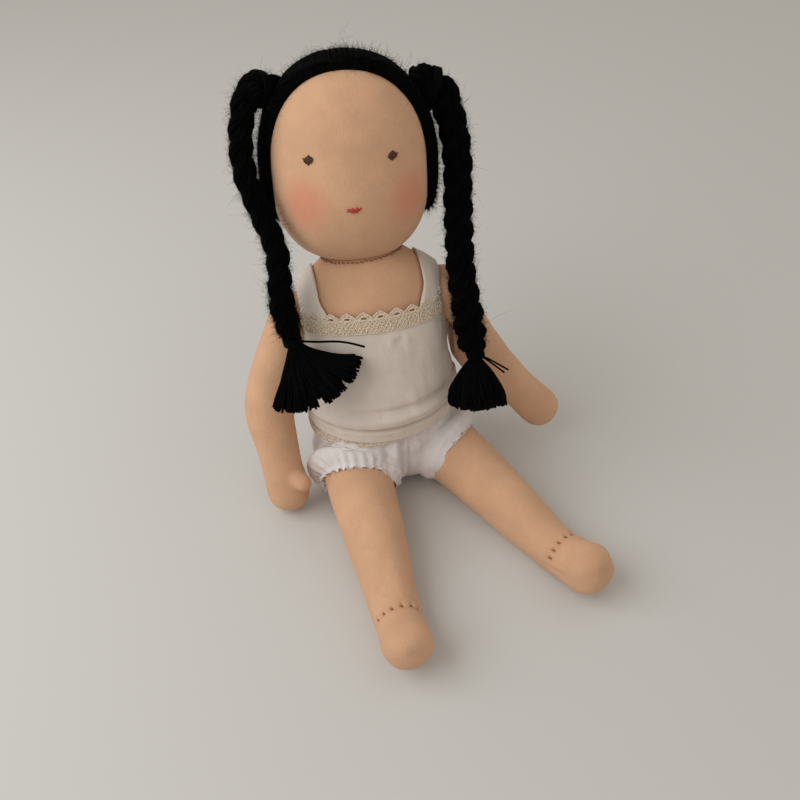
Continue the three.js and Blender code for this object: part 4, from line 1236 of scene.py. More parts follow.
thetas = round_angles(HAIRLINE_STEPS)
hair_edges = np.array([hairline(t) for t in thetas])
for _ in range(3):
    hair_edges = softened(hair_edges)


def edge_at(theta):
    whole, first = np.append(thetas, TURN), np.append(hair_edges, hair_edges[0])
    return float(np.interp(theta % TURN, whole, first))


def cap_row(share, grow):
    return [in_head(*head_point(head_direction(t, e * share), grow)) for t, e in zip(thetas, hair_edges)]


cap_outer = [cap_row(share, grow) for share, grow in zip(CAP_SHARES, CAP_GROWS)]
cap_inner = [cap_row(share, 0.1) for share in CAP_SHARES[::-1]]
hair_base = Builder().grid(cap_outer + cap_inner, caps=True)
add_piece("hair_base", hair_base, hair, "head", "hair_mohair", "hair_cap")


def lock(builder, start, end, wide):
    """One lock of hair over the head's surface, between two directions in the head's frame."""
    span = math.acos(min(max(float(np.dot(start, end)), -1), 1))
    line, radii = [], []
    swell, drift = rng.uniform(0.0, 0.4), rng.uniform(-0.05, 0.05)
    aside = np.cross(start, end)
    for i in range(LOCK_POINTS):
        t = i / (LOCK_POINTS - 1)
        arch = math.sin(math.pi * t)
        way = (math.sin((1 - t) * span) * start + math.sin(t * span) * end) / max(math.sin(span), 1e-3)
        grow = 1.4 + 3.0 * smoothstep(t, 0, 0.12) + swell * arch + 1.6 * smoothstep(t, 0.75, 1)
        line.append(in_head(*head_point(way + aside * drift * arch, grow)))
        radii.append(wide * (0.55 + 0.45 * smoothstep(t, 0, 0.2)) * (1 - 0.45 * smoothstep(t, 0.6, 1)))
    builder.tube(line, radii, 7, flat=0.5, out=head_frame @ start)


locks = Builder()
for side_name, sign in SIDES.items():
    first, second = (np.array(p) for p in PLAIT_PATHS[side_name][:2])
    root = unit(head_frame.T @ (second * 0.45 + first * 0.55 - head_centre))
    starts = []
    for k in range(LOCKS_ROUND):
        theta = math.pi / 2 - sign * math.pi * (k + 0.5) / LOCKS_ROUND
        starts.append(head_direction(theta, edge_at(theta) * rng.uniform(0.96, 0.99)))
    top, bottom = edge_at(math.pi / 2), edge_at(1.5 * math.pi)
    for k in range(LOCKS_PARTING):
        lean = top - (top + bottom) * (k + 0.5) / LOCKS_PARTING
        starts.append(unit(head_direction(math.pi / 2, lean) + np.array((sign * 0.03, 0, 0))))
    for start in starts:
        lock(locks, start, root, rng.uniform(1.5, 2.2))
add_piece("hair_locks", locks, hair, "head", "hair_mohair", "hair_cap")

# Plaits of three strands, each strand a bundle of yarns.
STRANDS, YARNS = 3, 6
YARN_STEP, YARN_THICK, YARN_LAY = 1.5, 1.8, 24
BRAID_PERIOD = 37.0
PLAIT_HALF = 8.8
PLAIT_FULLNESS = {"right": 0.82, "left": 1.05}
WRAP_STEPS = 18
# Directions of the picture, as the camera sees them.
to_camera = np.array((-0.253, -0.673, 0.695))
image_right = np.array((0.936, -0.352, 0.0))
image_down = -np.cross(to_camera, image_right)


def in_image(across, down, ahead):
    """A step across and down the picture and towards its viewer."""
    return image_right * across + image_down * down + to_camera * ahead


def plait_width(d, length):
    stations = [(0, 12.5), (10, 12.0), (20, 10.0), (32, PLAIT_HALF), (length - 45, PLAIT_HALF)]
    stations += [(length - 16, 9.8), (length - 6, 8.6), (length, 5.0)]
    return smooth_through(stations, d) / PLAIT_HALF


def wrap(builder, centre, along, radius, turns, thread, rise):
    """A thread wound round a bundle."""
    side = unit(np.cross(along, (0.3, 0.2, 0.9)))
    front = np.cross(along, side)
    steps = turns * WRAP_STEPS
    line = []
    for i in range(steps + 1):
        a = TURN * i / WRAP_STEPS
        around = (side * math.cos(a) + front * math.sin(a)) * radius
        line.append(centre + around + along * (rise * (i / steps - 0.5)))
    builder.tube(line, thread, 6)


def hang(name, builder, crossing_point):
    """A piece of a plait that follows the head at its top and the body at the neck's level."""
    obj = outward_object(name, builder, hair)
    start, end = (metres(crossing_point + neck_axis * x) for x in (34, 1.0))
    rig.blend(obj, "head", "torso", start, end)
    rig.slot(obj, "hair_mohair")
    return obj


def make_plait(side_name):
    spine = Spine(PLAIT_PATHS[side_name])
    length = spine.length
    fullness = PLAIT_FULLNESS[side_name]
    crossing = next(d for d in np.arange(0, length, 0.2) if (spine.at(d) - neck).dot(neck_axis) <= 0)
    distances = np.arange(0, length + YARN_STEP / 2, YARN_STEP)
    frames = []
    for d in distances:
        along = spine.along(d)
        side = unit(np.cross(to_camera, along))
        frames.append((d, spine.at(d), side, np.cross(along, side), plait_width(d, length)))
    thick = np.array([YARN_THICK * width * fullness for *_, width in frames])
    upper, lower = Builder(), Builder()
    for strand in range(STRANDS):
        for yarn in range(YARNS):
            line = []
            for d, centre, side, front, width in frames:
                turn = TURN * (d / BRAID_PERIOD + strand / STRANDS)
                lay = TURN * (yarn / YARNS + d / YARN_LAY)
                across = 3.8 * math.sin(turn) + 3.2 * math.cos(lay)
                ahead = 2.4 * math.sin(2 * turn) + 3.0 * math.sin(lay)
                line.append(centre + (side * across + front * ahead) * (width * fullness))
            line = np.array(line)
            for builder, part in ((upper, distances <= crossing + 0.8), (lower, distances >= crossing - 0.8)):
                builder.tube(line[part], thick[part], 6)
    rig.replaces(hang("braid_upper_" + side_name, upper, spine.at(crossing)), "plait_upper_" + side_name)
    add_side(side_name, "braid_lower", lower, hair, "plait", "hair_mohair", "plait_lower")
    root_tie = Builder()
    wrap(root_tie, spine.at(12), spine.along(12), 11.2 * fullness, 4, 0.8, 4.5)
    add_piece("root_binding_" + side_name, root_tie, hair, "head", "hair_tie", "plait_root_tie_" + side_name)
    return spine, crossing


# Brushes of cut yarn at the plaits' ends, and the tails of their ties.
FAN_REACH, FAN_START, FAN_SPREAD = 41.0, -0.3, 1.62
BELL_DROP, BELL_WIDE, BELL_DEEP = 34.5, 17.0, 9.5
BRUSH_ROOT = 3.4
BRUSH_RADII = [0.66] * 7 + [0.7, 0.74]
LEFT_TAILS = ((19.5, 11.0), (17.0, 12.5))


def fan_end(k, count):
    """Where a yarn of the right brush ends: a flat fan spread over the front of the body."""
    spread = (k + rng.random()) / count
    angle = FAN_START + FAN_SPREAD * spread
    notch = 0.88 if 0.4 < spread < 0.47 or 0.7 < spread < 0.74 else 1.0
    reach = FAN_REACH * rng.uniform(0.9, 1.03) * notch
    return in_image(math.sin(angle) * reach, math.cos(angle) * reach, rng.uniform(-4.0, 4.0))


def bell_end(k, count):
    """Where a yarn of the left brush ends: a round bell that hangs down."""
    out, turn = math.sqrt((k + 0.5) / count), rng.uniform(0, TURN)
    drop = (BELL_DROP - 3.0 * out * out) * rng.uniform(0.9, 1.04)
    return in_image(1.0 + BELL_WIDE * out * math.cos(turn), drop, BELL_DEEP * out * math.sin(turn))


# For each brush: where its yarns end, how many there are, and how far they belly out.
TASSELS = {"right": (fan_end, 460, 0.34), "left": (bell_end, 340, 1.25)}


def make_tassel(side_name, spine):
    end, along = spine.at(spine.length), spine.along(spine.length)
    yarn_end, count, belly = TASSELS[side_name]
    made = Builder()
    for k in range(count):
        finish = yarn_end(k, count)
        level = finish - along * finish.dot(along)
        root = level * (BRUSH_ROOT / max(np.linalg.norm(level), BRUSH_ROOT))
        begin = root * rng.uniform(0.2, 1.0) + along * 1.4
        bend = along * 10 + level * belly * 0.9 + finish * 0.12
        line = []
        for t in np.arange(len(BRUSH_RADII)) / (len(BRUSH_RADII) - 1):
            p = (1 - t) ** 2 * begin + 2 * t * (1 - t) * bend + t * t * finish
            line.append(end + p + in_image(0.5 * t * math.sin(t * 9 + k * 1.7), 0, 0.4 * math.sin(t * 7 + k)))
        made.tube(line, BRUSH_RADII, 5)
    add_side(side_name, "tassel", made, hair, "brush", "hair_mohair", "plait_brush")
    tie = Builder()
    wrap(tie, end, along, 4.9, 5, 0.85, 5.0)
    for across, down in LEFT_TAILS if side_name == "left" else ():
        line = []
        for t in np.linspace(0.2, 1, 8):
            line.append(end + in_image(across * t, down * t, 4 + 3 * math.sin(math.pi * t)))
        tie.tube(line, 0.6, 6)
    add_side(side_name, "end_binding", tie, hair, "plait", "hair_tie", "plait_end_tie")


def make_tail(spine):
    """The long tail of the right tie, lying out over the brush."""
    end = spine.at(spine.length)
    path = []
    for t in np.linspace(0, 1, 25):
        drop = 0.6 + 4.2 * t * t + 0.5 * math.sin(7 * t)
        path.append(end + in_image(4.5 + 37.5 * t, drop, 5.0 + 2.0 * t))
    length = float(marks_along(path)[-1]) * MM
    tail = add_piece("tie_tail_right", Builder().tube(path, 0.65, 8), hair, "plait_right", "hair_tie")
    line = [metres(p) for p in path]
    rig.cord(
        tail, exit=line[0], length=length, diameter=0.0013,
        far_end="bare", stiffness="medium", lay="loose", path=line,
    )


plaits = {}
for side_name in SIDES:
    plaits[side_name] = make_plait(side_name)
    make_tassel(side_name, plaits[side_name][0])
make_tail(plaits["right"][0])


# Stray hairs.
def fibres(places, normals, wisps, longest):
    """Stray hairs that stand off a surface: short down, and a share of long curly wisps."""
    count = len(places)
    down, long = dice.uniform(0.8, 3.0, count), dice.uniform(0.35, 1.0, count) * longest
    lengths = np.where(dice.random(count) < wisps, long, down)[:, None]
    ways = units(normals * dice.uniform(0.1, 0.8, (count, 1)) + dice.normal(0, 0.6, (count, 3)))
    bends = dice.normal(0, 0.65, (count, 3)) * lengths
    curls = dice.normal(0, 0.22, (count, 3)) * lengths
    across = units(np.cross(ways, dice.normal(0, 1, (count, 3))))
    above = np.cross(ways, across)
    rings = []
    for t, radius in ((0, 0.07), (0.33, 0.06), (0.67, 0.05), (1, 0.03)):
        middle = places + ways * lengths * t + bends * t * t + curls * math.sin(8 * t)
        for turn in (0, 2.1, 4.2):
            rings.append(middle + radius * (across * math.cos(turn) + above * math.sin(turn)))
    sides = []
    for k in (0, 3, 6):
        for j, after in ((0, 1), (1, 2), (2, 0)):
            sides.append((k + j, k + after, k + 3 + after, k + 3 + j))
    first = (12 * np.arange(count))[:, None, None]
    made = Builder()
    made.points.append(np.stack(rings, axis=1).reshape(-1, 3))
    made.faces += (first + np.array(sides)).reshape(-1, 4).tolist()
    made.faces += (first + np.array([(2, 1, 0), (9, 10, 11)])).reshape(-1, 3).tolist()
    made.uvs += [(0.0, 0.0)] * (42 * count)
    return made


def on_cap(count):
    """Places over the hair cap, with their outward directions."""
    rows = np.array(cap_outer)[:-1]
    i = (len(rows) - 1) * dice.random(count) ** 0.55
    j = dice.integers(0, HAIRLINE_STEPS, count)
    low = i.astype(int)
    t = (i - low)[:, None]
    places = rows[low, j] * (1 - t) + rows[low + 1, j] * t
    return places, units(places - head_centre)


def on_hairline(count):
    """Places along the hairline, with directions out over the skin."""
    rows = np.array(cap_outer)
    j = dice.integers(0, HAIRLINE_STEPS, count)
    t = dice.random((count, 1))
    places = rows[-2, j] * (1 - t) + rows[-1, j] * t
    places += (np.roll(rows[-1], -1, axis=0)[j] - rows[-1, j]) * dice.random((count, 1))
    return places, units(rows[-1, j] - rows[-5, j])


def on_plait(spine, fullness, low, high, count):
    """Places over a stretch of a plait, with their outward directions."""
    d = dice.uniform(low, high, count)
    alongs = np.array([spine.along(x) for x in d])
    outs = dice.normal(0, 1, (count, 3))
    outs = units(outs - alongs * (outs * alongs).sum(axis=1, keepdims=True))
    shares = np.array([plait_width(x, spine.length) * fullness for x in d])[:, None]
    return np.array([spine.at(x) for x in d]) + outs * 7.4 * shares, outs


# The share of long wisps, and how long they get.
PLAIT_WISPS = (0.05, 6.5)
for name, places, wisps, longest in (
    ("hair_down", lambda: on_cap(8000), 0.0, 8.0),
    ("hair_wisps", lambda: on_cap(7000), 0.1, 6.0),
    ("hairline_fuzz", lambda: on_hairline(2600), 0.0, 8.0),
):
    add_piece(name, fibres(*places(), wisps, longest), hair, "head", "hair_mohair")
for side_name, (spine, crossing) in plaits.items():
    fullness = PLAIT_FULLNESS[side_name]
    upper = fibres(*on_plait(spine, fullness, 2, crossing - 1, 6000), *PLAIT_WISPS)
    hang("plait_fuzz_upper_" + side_name, upper, spine.at(crossing))
    lower = fibres(*on_plait(spine, fullness, crossing + 2, spine.length - 4, 3200), *PLAIT_WISPS)
    add_side(side_name, "plait_fuzz_lower", lower, hair, "plait", "hair_mohair")

# Camisole: a knit bodice with a turned hem, a soft fold above it, two straps and lace along the neckline.
HEM = 53.0
BODICE_TOP = torso_length - 35
CLOTH = 1.1
ARMHOLE, LACE_ARMHOLE = 16.8, 16.0
CAMISOLE_AROUND, CAMISOLE_GIRTH, CAMISOLE_HEIGHT = 200, 290, 80
PUCKER_AT, PUCKER_TURN = 107, 0.24
STRAP_IN, STRAP_HALF, STRAP_EASE, STRAP_THICK = 37.2, 5.7, 2.3, 0.9
# Room kept free round the shoulders, in front (1) and behind (-1).
STRAP_ROOM = {1: 17.0, -1: 20.5}


def front_share(angle, aside=0.0):
    """How far an angle lies to the front, or to a place turned aside from it."""
    return 0.5 + 0.5 * math.cos(angle - front_angle - aside * torso_front)


def neckline(angle):
    """How high the bodice reaches: a little higher in front, most of all on the right."""
    lift = 2.6 + 2.2 * math.sin((angle - front_angle) * torso_front)
    return BODICE_TOP + lift * smoothstep(front_share(angle), 0.3, 0.75)


def ease_at(d, angle):
    """How far the bodice's outside stands off the body."""
    up = d - HEM
    crease = 0.45 + 0.55 * front_share(angle, 0.7) ** 2
    roll = front_share(angle, -0.5) ** 2
    hem_fold = [(8.6, 5.1 - 4.2 * crease), (10.4, 6.0 + 1.1 * crease), (12.5, 6.8 + 1.4 * crease)]
    soft_fold = [(15.5, 7.2 + 0.5 * roll + 0.6 * crease), (18.5, 6.2 - 2.9 * roll), (21.5, 5.6 - 0.4 * roll)]
    stations = [(0, 5.9), (4, 5.9), (7.2, 5.8)] + hem_fold + soft_fold + [(29, 3.6), (38, 2.4), (90, 2.2)]
    ease = smooth_through(stations, up)
    slack = smoothstep(up, 8, 20) * (1 - smoothstep(up, 44, 60))
    ease += slack * 0.7 * round_wobble(angle, d, 4, 30, 8.0)
    ease += 0.4 * round_wobble(angle, d, 9, 18, 2.0) * (1 - smoothstep(up, 50, 70))
    aside = half_turn(angle - front_angle + PUCKER_TURN) * 46
    ridges = bell(d, PUCKER_AT, 3.0) * (bell(aside, 5, 1.8) + bell(aside, -5, 1.8))
    return ease + (ridges - 1.2 * bell(d, PUCKER_AT, 1.8) * bell(aside, 0, 4))


def inside_armhole(p, room):
    return any(np.linalg.norm(p - pivot) < room for pivot in shoulders)


def bodice_top(angle):
    d = neckline(angle)
    while inside_armhole(camisole_form.point(d, angle, 2.0), ARMHOLE):
        d -= 0.5
    return d


camisole_angles = round_angles(CAMISOLE_AROUND)
tops = np.array([bodice_top(a) for a in camisole_angles])
for _ in range(2):
    tops = np.minimum(tops, softened(tops))
camisole_shares = np.concatenate([np.linspace(0, 0.42, 36), np.linspace(0.45, 1, 26)])


def camisole_row(share, inset):
    row = []
    for a, top in zip(camisole_angles, tops):
        d = HEM + share * (top - HEM)
        row.append(camisole_form.point(d, a, ease_at(d, a) - inset))
    return row


def camisole_uv(i, j):
    row = max(min(i, 2 * len(camisole_shares) - 1 - i), 0)
    return j * CAMISOLE_GIRTH / CAMISOLE_AROUND, HEM + CAMISOLE_HEIGHT * camisole_shares[row]


camisole_outer = [camisole_row(s, 0) for s in camisole_shares]
camisole_inner = [camisole_row(s, CLOTH) for s in camisole_shares[::-1]]
camisole_mesh = closed_band("camisole", camisole_outer + camisole_inner, camisole_uv)
camisole = add_piece("camisole", camisole_mesh, camisole_knit, "torso", "camisole_cotton", "camisole_body")
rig.sheet(camisole, flat=(0.29, 0.082), held="stretched")


def ribbon(rows, thickness):
    """A closed thin strip from rows of points on its outside, thickened towards the inside."""
    normals = np.cross(np.gradient(rows, axis=1), np.gradient(rows, axis=0))
    normals /= np.linalg.norm(normals, axis=2, keepdims=True) + 1e-12
    if ((rows - torso_spine.at(torso_length - 30)) * normals).sum() < 0:
        normals = -normals
    back = rows - normals * thickness
    ring = np.concatenate([rows, back[:, ::-1]], axis=1)
    return Builder().grid(ring, uv=lambda i, j: (j * 1.1, i * 1.1), caps=True)


def strap_line(share, sign):
    """A line over the shoulder from the front to the back; share runs across the strap, from -1 to 1."""
    points = []
    x0 = STRAP_IN + 0.8 * sign + STRAP_HALF * share
    limit = BODICE_TOP
    while camisole_form.halves(limit, STRAP_EASE)[0] > x0 and limit < torso_length - 1:
        limit += 0.1
    front = np.linspace(BODICE_TOP - 3 - sign, limit, 26)
    for half, distances in ((1, front), (-1, front[::-1][1:])):
        for d in distances:
            scoop = 2.6 * (1 - share) * (1 - smoothstep(d - BODICE_TOP, 0, 17)) if half > 0 else 0
            wide, deep = camisole_form.halves(d, STRAP_EASE)
            centre, side, ahead, _ = camisole_form.frame(d)
            x = min(x0 - scoop, wide)
            while True:
                y = deep * math.sqrt(max(1 - (x / wide) ** 2, 0)) * torso_front * half
                place = centre + side * sign * x + ahead * y
                if x < 20 or not inside_armhole(place, STRAP_ROOM[half]):
                    break
                x -= 0.25
            roll = 0.5 * math.sin(share * 6 + d / 7)
            points.append(place + unit(side * sign * x + ahead * y) * (0.3 * roll))
    return points


for side_name, sign in SIDES.items():
    lines = np.array([strap_line(share, sign) for share in np.linspace(-1, 1, 9)])
    strap = add_piece(
        "strap_" + side_name, ribbon(lines.transpose(1, 0, 2), STRAP_THICK), camisole_knit,
        "torso", "camisole_cotton", "camisole_strap_" + side_name,
    )
    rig.sheet(strap, flat=(0.0135, float(marks_along(lines[4])[-1]) * MM), held="stretched")

# Lace along the neckline: a ground with scallops and holes, and the threads worked over it.
LACE_PITCH, LACE_STEP, LACE_THICK = 9.7, 0.5, 0.45
LACE_FOOT, LACE_BAND = -8.0, 1.0
LACE_MARGIN = 0.4
HOLE_AT, HOLE_WIDE, HOLE_HIGH = 1.1, 2.0, 0.85
LACE_ROWS = ((-6.6, 0.0), (-4.9, 0.5), (-3.2, 0.0), (-1.6, 0.5))
front_angles = [front_angle + x for x in np.linspace(-1.35, 1.35, 400)]
front_angles = [
    a for a in front_angles if not inside_armhole(camisole_form.point(neckline(a) - 1, a, 2.0), LACE_ARMHOLE)
]
lace_marks = marks_along([camisole_form.point(neckline(a), a, 2.6) for a in front_angles])
lace_length = float(lace_marks[-1])


def lace_top(u):
    t = (u / LACE_PITCH) % 1
    return LACE_BAND + 3.4 * (1 - abs(2 * t - 1)) ** 0.8


def on_lace(u, v, lift=0.0):
    angle = float(np.interp(u, lace_marks, front_angles))
    return camisole_form.point(neckline(angle) + v, angle, 2.75 + lift + 0.12 * math.sin(u * 0.7))


def lace_hole(u, v):
    t = (u / LACE_PITCH) % 1 - 0.5
    return (t * LACE_PITCH / HOLE_WIDE) ** 2 + ((v - HOLE_AT) / HOLE_HIGH) ** 2 < 1


def lace_ground_mesh():
    us = np.arange(0, lace_length, LACE_STEP)
    shares = np.linspace(0, 1, 24)
    rows = [[on_lace(u, LACE_FOOT + (lace_top(u) - LACE_FOOT) * s) for s in shares] for u in us]
    mesh = Builder().grid(rows, closed=False, uv=lambda i, j: (i * LACE_STEP, j * 0.45)).mesh("lace")
    with editing(mesh) as work:
        gone = []
        for k, face in enumerate(work.faces):
            i, j = divmod(k, len(shares) - 1)
            u = us[i] + LACE_STEP / 2
            if lace_hole(u, LACE_FOOT + (lace_top(u) - LACE_FOOT) * (shares[j] + shares[j + 1]) / 2):
                gone.append(face)
        bmesh.ops.delete(work, geom=gone, context="FACES")
        turn_outward(work)
    return mesh


def lace_threads():
    threads = Builder()
    fine = np.arange(LACE_MARGIN, lace_length - LACE_MARGIN, 0.8)
    threads.tube([on_lace(u, lace_top(u), 0.1) for u in fine], 0.42, 5)
    for v in (LACE_FOOT + 0.3, -0.3):
        threads.tube([on_lace(u, v, 0.2) for u in fine], 0.34, 5)
    for row, phase in LACE_ROWS:
        line = []
        for u in np.arange(LACE_MARGIN, lace_length - LACE_MARGIN, 0.3):
            sway = (0.8 + 0.3 * math.sin(u)) * math.sin(TURN * (u / 2.6 + phase))
            line.append(on_lace(u, row + sway, 0.25))
        threads.tube(line, 0.34, 5)
    for k in range(int(lace_length / LACE_PITCH)):
        middle = (k + 0.5) * LACE_PITCH
        turns = np.linspace(0, TURN, 17)
        ring = [on_lace(middle + 2.2 * math.cos(a), HOLE_AT + 1.0 * math.sin(a), 0.15) for a in turns]
        threads.tube(ring, 0.34, 5)
    return threads


lace = thicken("lace", lace_ground_mesh(), LACE_THICK, lace_ground)
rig.ride(lace, "torso")
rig.replaces(lace, "neckline_lace")
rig.slot(lace, "lace")
add_piece("lace_threads", lace_threads(), lace_thread, "torso", "lace")
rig.sheet(
    lace, flat=(lace_length * MM, 0.0135), held="stretched",
    area=lace_length * 11.0 * 1e-6, with_pieces=["lace_threads"],
)

# Bloomers: puffed cloth over hips and thighs, gathered at the waist and at the legs.
GATHERS, WAIST_GATHERS = 26, 34
GATHER_DEPTH = {"right": 1.4, "left": 0.35}
RUFFLE = {"right": 2.8, "left": 0.8}
TOP_COVER = {"right": 8, "left": 11}
# How much the outer cloth puffs out over the elastic, how far above it, and over what width.
BLOUSE = {"right": (4.0, -11, 8), "left": (2.6, -8, 7)}
# Folds that run down from the middle of the waist: height, place across and width.
SEAM_FOLDS = ((-1.6, 3.0, 0.9), (2.6, -6.5, 2.6), (-2.4, -2.4, 1.2), (-1.8, -12, 1.6))
BLOOMERS_TOP, BLOOMERS_EASE, BLOOMERS_CLOTH, GATHERED = 56.6, 2.5, 0.7, 1.3
ABOVE_FLOOR = 0.15
ELASTIC_STEPS = (-1.6, -0.5, 0.6)
# The way each hip's cloth leads out to the leg, and how far out the fold starts, the fold ends and
# the spread ends.
HIP_LINES = {"right": ((-0.6, -0.6, -0.53), 2.6, 8.0, 10.0), "left": ((0.7, -0.6, -0.39), 10.0, 17.5, 20.0)}


def leg_place(p):
    """The side a place lies on, how far down that leg, at what angle round it and how far from its axis."""
    name = "right" if p[0] < 0 else "left"
    leg = legs[name]
    rel = p - leg["pivot"]
    reach = float(rel.dot(leg["along"]))
    angle = math.atan2(float(rel.dot(leg["above"])), float(rel.dot(leg["across"])))
    return name, reach, angle, np.linalg.norm(rel - leg["along"] * reach)


def inwards(name, angle):
    """1 on the inside of a leg, -1 on its outside."""
    return -legs[name]["sign"] * math.cos(angle)


def leg_cut(name, angle):
    """How far down the thigh the elastic lies: short on its outside, long on top and at the crotch."""
    inner = inwards(name, angle)
    top = max(math.sin(angle), 0) * TOP_COVER[name]
    return 29 + 5 * inner + top + 6 * smoothstep(inner, 0.55, 1)


def torso_ratio(p, grow):
    """How far a place lies from the torso's axis, as a share of the torso's half sizes."""
    d = float(np.interp(p[2], torso_spine.points[:, 2], torso_spine.marks))
    centre, side, front, _ = torso_form.frame(d)
    wide, deep = torso_form.halves(d, grow)
    rel = p - centre
    return math.hypot(rel.dot(side) / wide, rel.dot(front) / deep)


def bloomers_relief(p, _):
    name, reach, angle, apart = leg_place(p)
    on_leg = smoothstep(reach, 2, 18) * (1 - smoothstep(apart, 27, 33))
    past = reach - leg_cut(name, angle)
    opening = on_leg * smoothstep(past, -10, -1)
    inner = smoothstep(inwards(name, angle), 0.3, 0.85)
    shift = 1.4 * wobble(p, 0.05, 4.0)
    wave = math.cos(GATHERS * angle + 3 * shift)
    gathers = GATHER_DEPTH[name] * opening * wave * (0.7 + 0.5 * wobble(p, 0.09, 1.0))
    gathers *= (1 - 0.7 * bell(past, 0, 1.6)) * (1 - 0.7 * inner)
    from_waist = math.exp(-(57 - p[2]) / 11)
    around = math.atan2(p[1], p[0])
    waist_gathers = (1 - on_leg) * 1.2 * from_waist * math.cos(WAIST_GATHERS * around + 4 * shift)
    outer_fullness, above, width = BLOUSE[name]
    fullness = 3.6 + outer_fullness * smoothstep(abs(p[0]), 24, 44)
    pinch = max(bell(past, 0, 2.6), inner * smoothstep(past, -2, 0))
    puff = on_leg * (fullness * bell(past, above, width) * (1 - 0.6 * inner) - 2.3 * pinch)
    if name == "right":
        puff -= 1.5 * on_leg * bell(past, -18, 1.8) * smoothstep(math.sin(angle), 0.3, 0.7)
    front = smoothstep(-p[1], 12, 24)
    puff += 1.8 * front * bell(p[2], 43, 8) * (1 - on_leg)
    ruffle = on_leg * (1 - inner) * smoothstep(past, 0.4, 2.6) * (0.3 + 0.7 * wave)
    broad = 2.6 * (abs(wobble((p[0], p[1], p[2] * 0.45), 0.07, 9.0)) - 0.22)
    folds = (broad + 0.5 * wobble(p, 0.13, 6.0)) * (1 - 0.8 * opening)
    seam = sum(height * bell(p[0], place, width) for height, place, width in SEAM_FOLDS)
    return gathers + waist_gathers + puff + ruffle + folds + front * seam


def make_elastic(name):
    """The band that draws a leg opening in, hidden under the cloth."""
    form = legs[name]["form"]
    angles = round_angles(180)
    flip = form.facing(40, (0, 0, 1))
    starts = [HIP_RADIUS + leg_cut(name, a * flip) for a in angles]

    def ring(step, grow):
        return [form.point(start + step, a, grow) for start, a in zip(starts, angles)]

    rows = [ring(step, 0.75) for step in ELASTIC_STEPS] + [ring(step, 0.15) for step in ELASTIC_STEPS[::-1]]
    mesh = closed_band("elastic_" + name, rows, lambda i, j: (j * 0.8, i * 1.1))
    flatten(mesh, ABOVE_FLOOR)
    add_side(name, "elastic_band", mesh, bloomers_weave, "leg", "bloomers_cotton", "leg_elastic")


def cut_away(p):
    """Whether a place lies above the waist or beyond a leg's ruffle."""
    name, reach, angle, _ = leg_place(p)
    past_leg = reach > leg_cut(name, angle) + RUFFLE[name] and torso_ratio(p, BLOOMERS_EASE) > 1.07
    return p[2] > BLOOMERS_TOP or past_leg


def bloomers_cloth():
    """The whole garment as one open sheet, with its folds."""
    forms = [stuffed(torso_form, spaced(-BLOOMERS_EASE, 57.5, SEAT_ROUND, 0, 14, 9), 48, BLOOMERS_EASE)]
    for leg in legs.values():
        forms.append(stuffed(leg["form"], spaced(-3, HIP_RADIUS + 52, HIP_RADIUS, 0, 22, 8), 40, 3.0))
    mesh = remeshed("bloomers", forms, 2.0)
    with editing(mesh) as work:
        smooth_points(work, 6)
        gone = [face for face in work.faces if cut_away(np.array(face.calc_center_median()) / MM)]
        bmesh.ops.delete(work, geom=gone, context="FACES")
        bmesh.ops.subdivide_edges(work, edges=work.edges, cuts=1, use_grid_fill=True)
        smooth_points(work, 3)
        turn_outward(work)
    displace(mesh, bloomers_relief)
    flatten(mesh, ABOVE_FLOOR)
    layer = mesh.uv_layers.get("cloth") or mesh.uv_layers.new(name="cloth")
    for loop in mesh.loops:
        co = mesh.vertices[loop.vertex_index].co / MM
        layer.data[loop.index].uv = (co.x * 0.8 + co.y * 0.6, co.z * 0.9 + co.y * 0.55 - co.x * 0.3)
    return mesh


def make_panel(cloth, name, part):
    """The seat or the leg of one side, cut out of the whole garment."""
    aim, *reaches = HIP_LINES[name]
    lean = unit(aim)
    fold_start, fold_end, spread_end = (legs[name]["pivot"] + lean * reach for reach in reaches)
    seat = part == "seat"
    mesh = cloth.copy()
    with editing(mesh) as work:
        slice_mesh(work, (0, 0, 0), (SIDES[name], 0, 0), clear_inner=True)
        slice_mesh(work, fold_end, lean, clear_inner=not seat, clear_outer=seat)
        area = sum(f.calc_area() for f in work.faces)
    panel = thicken("bloomers_%s_%s" % (part, name), mesh, BLOOMERS_CLOTH, bloomers_weave)
    if seat:
        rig.blend(panel, "torso", "hip_" + name, metres(fold_start), metres(fold_end))
    else:
        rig.blend(panel, "hip_" + name, "leg_" + name, metres(fold_end), metres(spread_end))
    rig.replaces(panel, "bloomers")
    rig.slot(panel, "bloomers_cotton")
    side = math.sqrt(area * GATHERED)
    band = [] if seat else ["elastic_band_" + name]
    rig.sheet(panel, flat=(round(side * 1.2, 4), round(side / 1.2, 4)), held="stretched", with_pieces=band)


for side_name in SIDES:
    make_elastic(side_name)
whole_cloth = bloomers_cloth()
for side_name in SIDES:
    for part in ("seat", "leg"):
        make_panel(whole_cloth, side_name, part)

# Lace-edged waistband, which shows under the hem.
WAIST_TOP, WAIST_LOW, WAIST_DIP = 60.0, 54.2, 8.5
WAIST_SCALLOPS = 28
WAIST_LACE_THICK = 0.5


def waist_place(angle, share, lift):
    """A place between the band's scalloped low edge and its top; it hangs lowest at the right front."""
    dip = WAIST_DIP * front_share(angle, 1.4) ** 4
    low = WAIST_LOW - dip - 1.0 * abs(math.sin(angle * WAIST_SCALLOPS))
    return torso_form.point(low + (WAIST_TOP - low) * share, angle, lift)


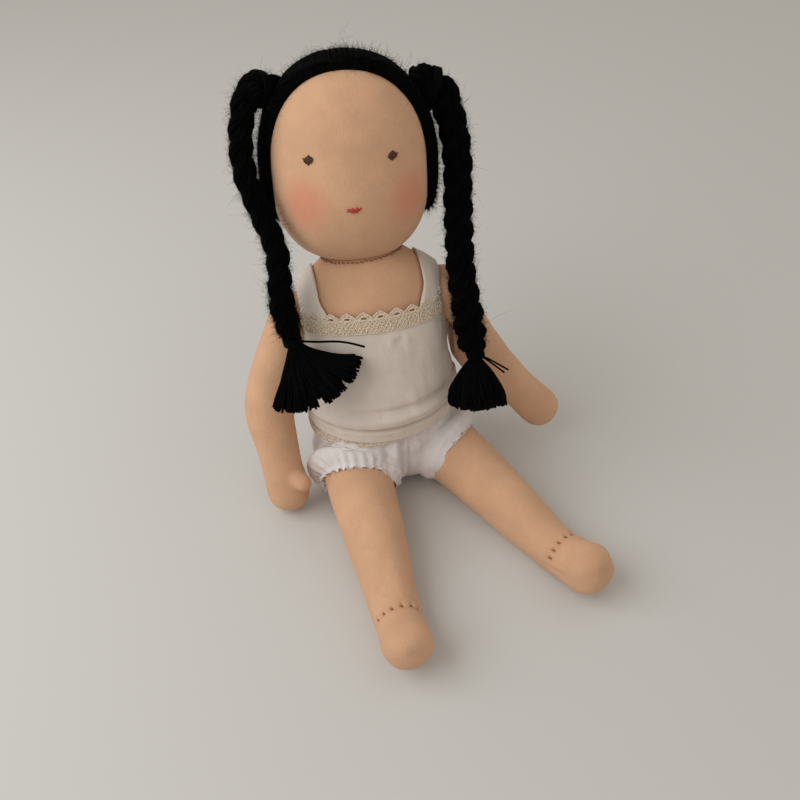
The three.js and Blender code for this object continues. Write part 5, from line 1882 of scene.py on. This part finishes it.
def make_waist_lace():
    angles = round_angles(260)
    outer, inner = [], []
    for share in np.linspace(0, 1, 9):
        ease = 5.6 - 1.7 * smoothstep(share, 0, 0.4) - 0.7 * share
        outer.append([waist_place(a, share, ease) for a in angles])
        inner.append([waist_place(a, share, ease - WAIST_LACE_THICK) for a in angles])
    mesh = closed_band("waist_lace", outer + inner[::-1], lambda i, j: (j * 1.07, i * 1.2))
    band = add_piece("waist_lace", mesh, lace_ground, "torso", "lace", "waistband_lace")
    threads = Builder()
    for share, lift in ((0.02, 5.6), (0.2, 5.0)):
        threads.tube([waist_place(a, share, lift) for a in np.append(angles, angles[0])], 0.32, 5)
    add_piece("waist_lace_threads", threads, lace_thread, "torso", "lace")
    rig.sheet(band, flat=(0.27, 0.0105), held="stretched", with_pieces=["waist_lace_threads"])


make_waist_lace()

# Stage: a plain pale floor and soft light from the upper left.
FLOOR_REACH, FLOOR_DROP = 6, -0.0002
ROOM_LIGHT, ROOM_STRENGTH = (1.0, 0.95, 0.885, 1), 0.58
WINDOW_PLACE, WINDOW_AIM = (-0.8, 0.05, 0.8), (0, -0.02, 0.12)
WINDOW_SIZE, WINDOW_ENERGY, WINDOW_LIGHT = (1.1, 0.9), 6.8, (0.94, 0.98, 1.0)


def make_floor():
    look = Look("floor_paper", FLOOR, 0.9, 0.1)
    corners = [(x * FLOOR_REACH, y * FLOOR_REACH, 0) for x, y in ((-1, -1), (1, -1), (1, 1), (-1, 1))]
    mesh = bpy.data.meshes.new("floor")
    mesh.from_pydata(corners, [], [(0, 1, 2, 3)])
    floor = new_object("floor", mesh, look.material)
    floor.location.z = FLOOR_DROP
    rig.stage(floor)


def make_light():
    world = bpy.data.worlds.new("room")
    world.use_nodes = True
    background = world.node_tree.nodes["Background"]
    background.inputs[0].default_value = ROOM_LIGHT
    background.inputs[1].default_value = ROOM_STRENGTH
    bpy.context.scene.world = world
    data = bpy.data.lights.new("window", "AREA")
    data.shape = "RECTANGLE"
    data.size, data.size_y = WINDOW_SIZE
    data.energy = WINDOW_ENERGY
    data.color = WINDOW_LIGHT
    window = link(bpy.data.objects.new("window", data))
    window.location = WINDOW_PLACE
    window.rotation_euler = (Vector(WINDOW_AIM) - window.location).to_track_quat("-Z", "Y").to_euler()


make_floor()
make_light()
bpy.context.scene.view_settings.view_transform = "Standard"

visual_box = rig.bounds()
with open("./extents.json", "w") as out_file:
    json.dump({"cad": [list(v) for v in cad_box], "visual": [list(v) for v in visual_box]}, out_file)
